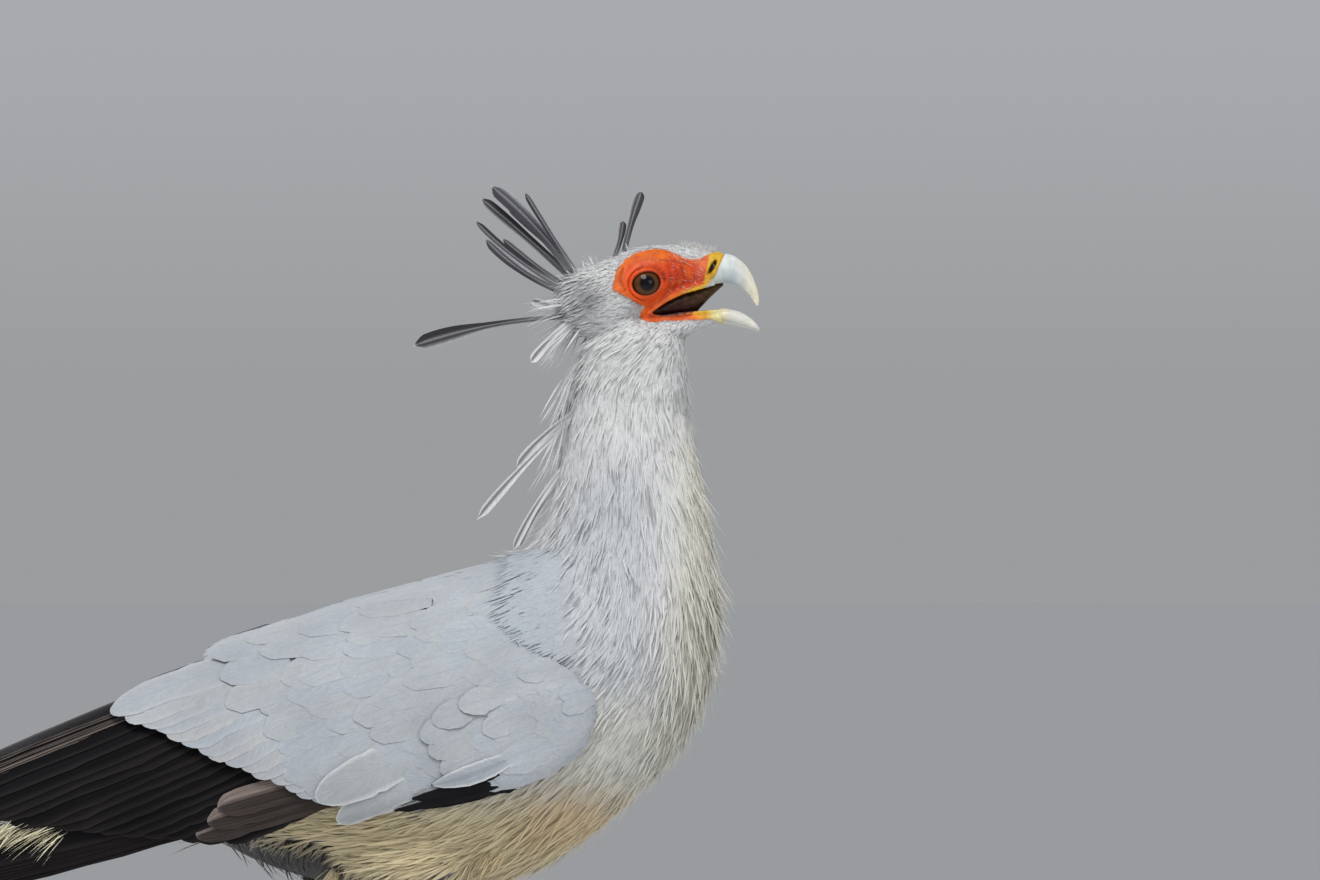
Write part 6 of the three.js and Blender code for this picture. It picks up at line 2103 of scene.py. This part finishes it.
# %% Shields of the shins and toes
def shield_shape(node, given):
    squares = {"Vertices X": 4, "Vertices Y": 7, "Vertices Z": 2}
    box = node("GeometryNodeMeshCube", {"Size": (1, 1, 0.3), **squares})["Mesh"]
    place = node("GeometryNodeInputPosition")["Position"]
    x, y, z = (node("ShaderNodeSeparateXYZ", {0: place})[k] for k in range(3))
    wide, long = (sum_of(node, "MULTIPLY", sum_of(node, "ABSOLUTE", side), 2.0) for side in (y, x))
    edge = sum_of(node, "POWER", sum_of(node, "MAXIMUM", wide, long), 3.0)
    thinned = sum_of(node, "MULTIPLY", sum_of(node, "MULTIPLY", edge, -0.8), z)
    drop = sum_of(node, "MULTIPLY", sum_of(node, "MULTIPLY", y, y), given["Wrap"])
    shift = sum_of(node, "SUBTRACT", thinned, drop)
    offset = node("ShaderNodeCombineXYZ", {2: shift})[0]
    return node("GeometryNodeSetPosition", {"Geometry": box, "Offset": offset})["Geometry"]


shield_finish = Finish("shields", Specular_IOR_Level=0.4)
cloudy = shield_finish.noise(120, 4)
shield_finish.set(Base_Color=shield_finish.mottled(cloudy, (0.46, 0.33, 0.26), (0.66, 0.53, 0.44)))
grain = shield_finish.noise(900, 3)
shield_finish.set(Roughness=shield_finish.swing(grain, 0.38, 0.55))
shield_finish.set(Normal=shield_finish.bump(grain, 0.35, 0.0004))
shield_tree = repeating_tree("shields", {"Wrap": 1.2}, shield_shape, shield_finish.material)
for name, leg in LEGS.items():
    points, ahead, out, sizes = [], [], [], []
    for z in np.arange(36, 386, 5.6):
        _, deep, wide, _ = between(SHANK, place_in(SHANK, z))
        points.append((float(leg_x(leg, z)) + deep - 0.35, leg["y"], z))
        ahead.append((0, 0, 1))
        out.append((1, 0, 0.08))
        sizes.append((6.4, 1.45 * wide, 1.45 * wide))
    for toe_name, toe in TOES.items():
        start, heading, _ = toe_frame(leg, toe_name)
        for f in np.arange(0.28, 0.97, 3.9 / toe["long"]):
            high = 1.62 * float(toe_height(toe, f))
            points.append(start + heading * f * toe["long"] + np.array([0, 0, high - 0.3]))
            ahead.append(heading)
            out.append((0, 0, 1))
            wide = 1.25 * toe["thick"] * (1 - 0.3 * f)
            sizes.append((4.5, wide, wide))
    placed = map(np.array, (points, ahead, out, sizes))
    finished(set_on_points("shields_" + name, shield_tree, {"Wrap": 0.95}, *placed), None, "leg_skin")

# %% [markdown]
# A bristle is a slim cone that bends as it grows. The upper lid carries long black lashes, and short white
# bristles stand on the face before the eye and at the edge of the forehead.

# %% Lashes and bristles
def bristle_shape(node, given):
    links = {"Vertices": 4, "Side Segments": 4, "Radius Top": 0.004, "Depth": 1.0}
    links["Radius Bottom"] = given["Thickness"]
    cone = node("GeometryNodeMeshCone", links)["Mesh"]
    laid = node("GeometryNodeTransform", {"Geometry": cone, "Rotation": (0, math.radians(90), 0)})["Geometry"]
    place = node("GeometryNodeInputPosition")["Position"]
    x = node("ShaderNodeSeparateXYZ", {0: place})[0]
    rise = sum_of(node, "MULTIPLY", sum_of(node, "MULTIPLY", x, x), given["Bend"])
    offset = node("ShaderNodeCombineXYZ", {2: rise})[0]
    return node("GeometryNodeSetPosition", {"Geometry": laid, "Offset": offset})["Geometry"]


def hair_finish(name, dark, light):
    made = Finish(name, 0.5)
    mottle = made.noise(300, 3)
    made.set(Base_Color=made.mottled(mottle, dark, light), Normal=made.bump(mottle, 0.2, 0.0002))
    return made.material


def on_face(roots):
    """Puts places of the side view on the skin of both sides, with the way out of it."""
    points, outs = [], []
    for x, z in roots:
        for side in (-1, 1):
            hit = skin_tree.ray_cast(Vector((x, side * 60, z)), Vector((0, -side, 0)))
            if hit[0]:
                points.append(np.array(hit[0]))
                outs.append(np.array(hit[1]))
    return np.array(points), np.array(outs)


def on_crown(roots):
    hits = [skin_tree.ray_cast(Vector((x, y, 1040)), Vector((0, 0, -1))) for x, y in roots]
    hits = [hit for hit in hits if hit[0]]
    return np.array([tuple(hit[0]) for hit in hits]), np.array([tuple(hit[1]) for hit in hits])


FACE_BRISTLES = 260
CROWN_BRISTLES = 170
LASHES = 26
rng = np.random.default_rng(66)
roots = np.column_stack([rng.uniform(44, 66, FACE_BRISTLES), rng.uniform(958, 985, FACE_BRISTLES)])
near_edge = depth_inside(FACE_EDGE, *roots.T)
roots = roots[(near_edge > 0.3) & (rng.random(FACE_BRISTLES) < np.where(near_edge < 4, 1, 0.45))]
points, outs = on_face(roots)
way = np.array([-0.75, 0, 0.55]) + rng.normal(0, 0.25, points.shape) + outs * 0.35
roots = np.column_stack([rng.uniform(50, 72, CROWN_BRISTLES), rng.normal(0, 5.5, CROWN_BRISTLES)])
top_points, top_outs = on_crown(roots)
points, outs = np.concatenate([points, top_points]), np.concatenate([outs, top_outs])
top_way = np.array([0.25, 0, 0.35]) + rng.normal(0, 0.25, top_points.shape) + top_outs * 0.55
way = np.concatenate([way, top_way])
white = hair_finish("white_bristles", (0.62, 0.58, 0.54), (0.80, 0.79, 0.78))
white_tree = repeating_tree("bristles", {"Thickness": 0.03, "Bend": 0.1}, bristle_shape, white)
sizes = rng.uniform(2.2, 4.0, (len(points), 1)) * np.array([1.0, 1.6, 1.6])
shape = {"Thickness": 0.028, "Bend": 0.12}
face_bristles = set_on_points("coat_bristles", white_tree, shape, points + way, way, outs, sizes)
each = len(face_bristles.data.vertices) // len(points)
where = np.stack([0.5 + np.sign(points[:, 1]) * 0.2 + points[:, 1] / 200, 1 - (points[:, 0] + 35) / 130], -1)
where = np.repeat(where, each, axis=0)
fine = np.tile(np.linspace(-0.0014, 0.0014, each)[:, None] * (1.0, -1.0), (len(points), 1))
map_points(face_bristles.data, where + fine)
finished(face_bristles, None, "head_feathers")

black = hair_finish("black_lashes", (0.008, 0.007, 0.007), (0.03, 0.026, 0.024))
black_tree = repeating_tree("lashes", {"Thickness": 0.03, "Bend": 0.2}, bristle_shape, black)
points, ways, outs = [], [], []
for side in (-1, 1):
    middle, axis, forward, up = eye_frame(side)
    for angle in np.radians(np.linspace(8, 128, LASHES) + rng.normal(0, 1.2, LASHES)):
        radial = math.cos(angle) * forward + math.sin(angle) * up
        points.append(middle + radial * 8.6 + axis * 9.4)
        ways.append(radial * 0.8 + axis * 0.75 + forward * 0.25 + rng.normal(0, 0.06, 3))
        outs.append(radial)
points, ways, outs = map(np.array, (points, ways, outs))
sizes = rng.uniform(3.4, 5.2, (len(points), 1)) * np.array([1.0, 1.3, 1.3])
shape = {"Thickness": 0.03, "Bend": 0.25}
lashes = set_on_points("lashes", black_tree, shape, points + unit(ways) * 2.0, ways, outs, sizes)
finished(lashes, None, "head_feathers")

# %% [markdown]
# The studio is a wide pale floor under an even sky, with one large soft light from above on the camera's
# side, and two weaker ones, ahead of the bird and behind it, that lift the shadows.
# The camera looks level at the bird's right side. It stands eight metres off with a long lens, and its frame
# is 825 mm wide where the bird stands.

# %% Floor, light and camera
FRAME_WIDE = 0.825
CAMERA_AWAY = 8.0
FRAME_MIDDLE = to_metres([37.5, 0, 866.1])
SENSOR_WIDE = 36
LIGHT_AIM = Vector((0.3, 0, 0.8))


def soft_light(name, place, size, power, colour):
    data = bpy.data.lights.new(name, "AREA")
    data.shape = "DISK"
    data.size = size
    data.energy = power
    data.color = colour
    lamp = new_object(name, data)
    lamp.location = place
    lamp.rotation_euler = (LIGHT_AIM - Vector(place)).to_track_quat("-Z", "Y").to_euler()


def studio_floor():
    corners = np.array([(-60, -60), (60, -60), (60, 60), (-60, 60)]) * 1000.0
    points = np.column_stack([corners, np.zeros(4)])
    floor = new_object("studio_floor", new_mesh("studio_floor", points, [np.array([[0, 1, 2, 3]])]))
    paper = Finish("pale_floor", 0.9)
    grain = paper.noise(30, 4)
    paper.set(Base_Color=paper.mix(grain, (0.78, 0.785, 0.79), (0.82, 0.82, 0.825)))
    floor.data.materials.append(paper.material)


def even_sky(strength, horizon):
    """A pale sky that is a little darker at the horizon, where it meets the floor without a line."""
    world = bpy.data.worlds.new("studio")
    bpy.context.scene.world = world
    world.use_nodes = True
    tree = world.node_tree
    light = tree.nodes["Background"]
    light.inputs["Strength"].default_value = strength
    direction = tree.nodes.new("ShaderNodeTexCoord").outputs["Generated"]
    parts = tree.nodes.new("ShaderNodeSeparateXYZ")
    tree.links.new(direction, parts.inputs[0])
    rise = tree.nodes.new("ShaderNodeMapRange")
    rise.interpolation_type = "SMOOTHSTEP"
    tree.links.new(parts.outputs[2], rise.inputs["Value"])
    rise.inputs["From Max"].default_value = 0.035
    shade = tree.nodes.new("ShaderNodeMix")
    shade.data_type = "RGBA"
    tree.links.new(rise.outputs[0], shade.inputs[0])
    shade.inputs[6].default_value = (*horizon, 1)
    shade.inputs[7].default_value = (0.93, 0.96, 1.0, 1)
    tree.links.new(shade.outputs[2], light.inputs["Color"])


studio_floor()
even_sky(0.42, (0.78, 0.80, 0.82))
soft_light("soft_above", (0.2, -2.0, 3.2), 1.8, 64, (1.0, 0.985, 0.96))
soft_light("soft_front", (3.2, -2.6, 1.6), 2.0, 17, (1.0, 0.99, 0.97))
soft_light("soft_behind", (-1.2, 2.6, 2.6), 2.0, 22, (0.95, 0.97, 1.0))

camera = new_object("camera", bpy.data.cameras.new("camera"))
camera.data.sensor_width = SENSOR_WIDE
camera.data.lens = SENSOR_WIDE * CAMERA_AWAY / FRAME_WIDE
camera.data.clip_end = 200
camera.location = (FRAME_MIDDLE[0], -CAMERA_AWAY, FRAME_MIDDLE[2])
camera.rotation_euler = (math.radians(90), 0, 0)
bpy.context.scene.camera = camera
bpy.context.scene.view_settings.view_transform = "Standard"
print("lens:", round(camera.data.lens, 1), "mm")
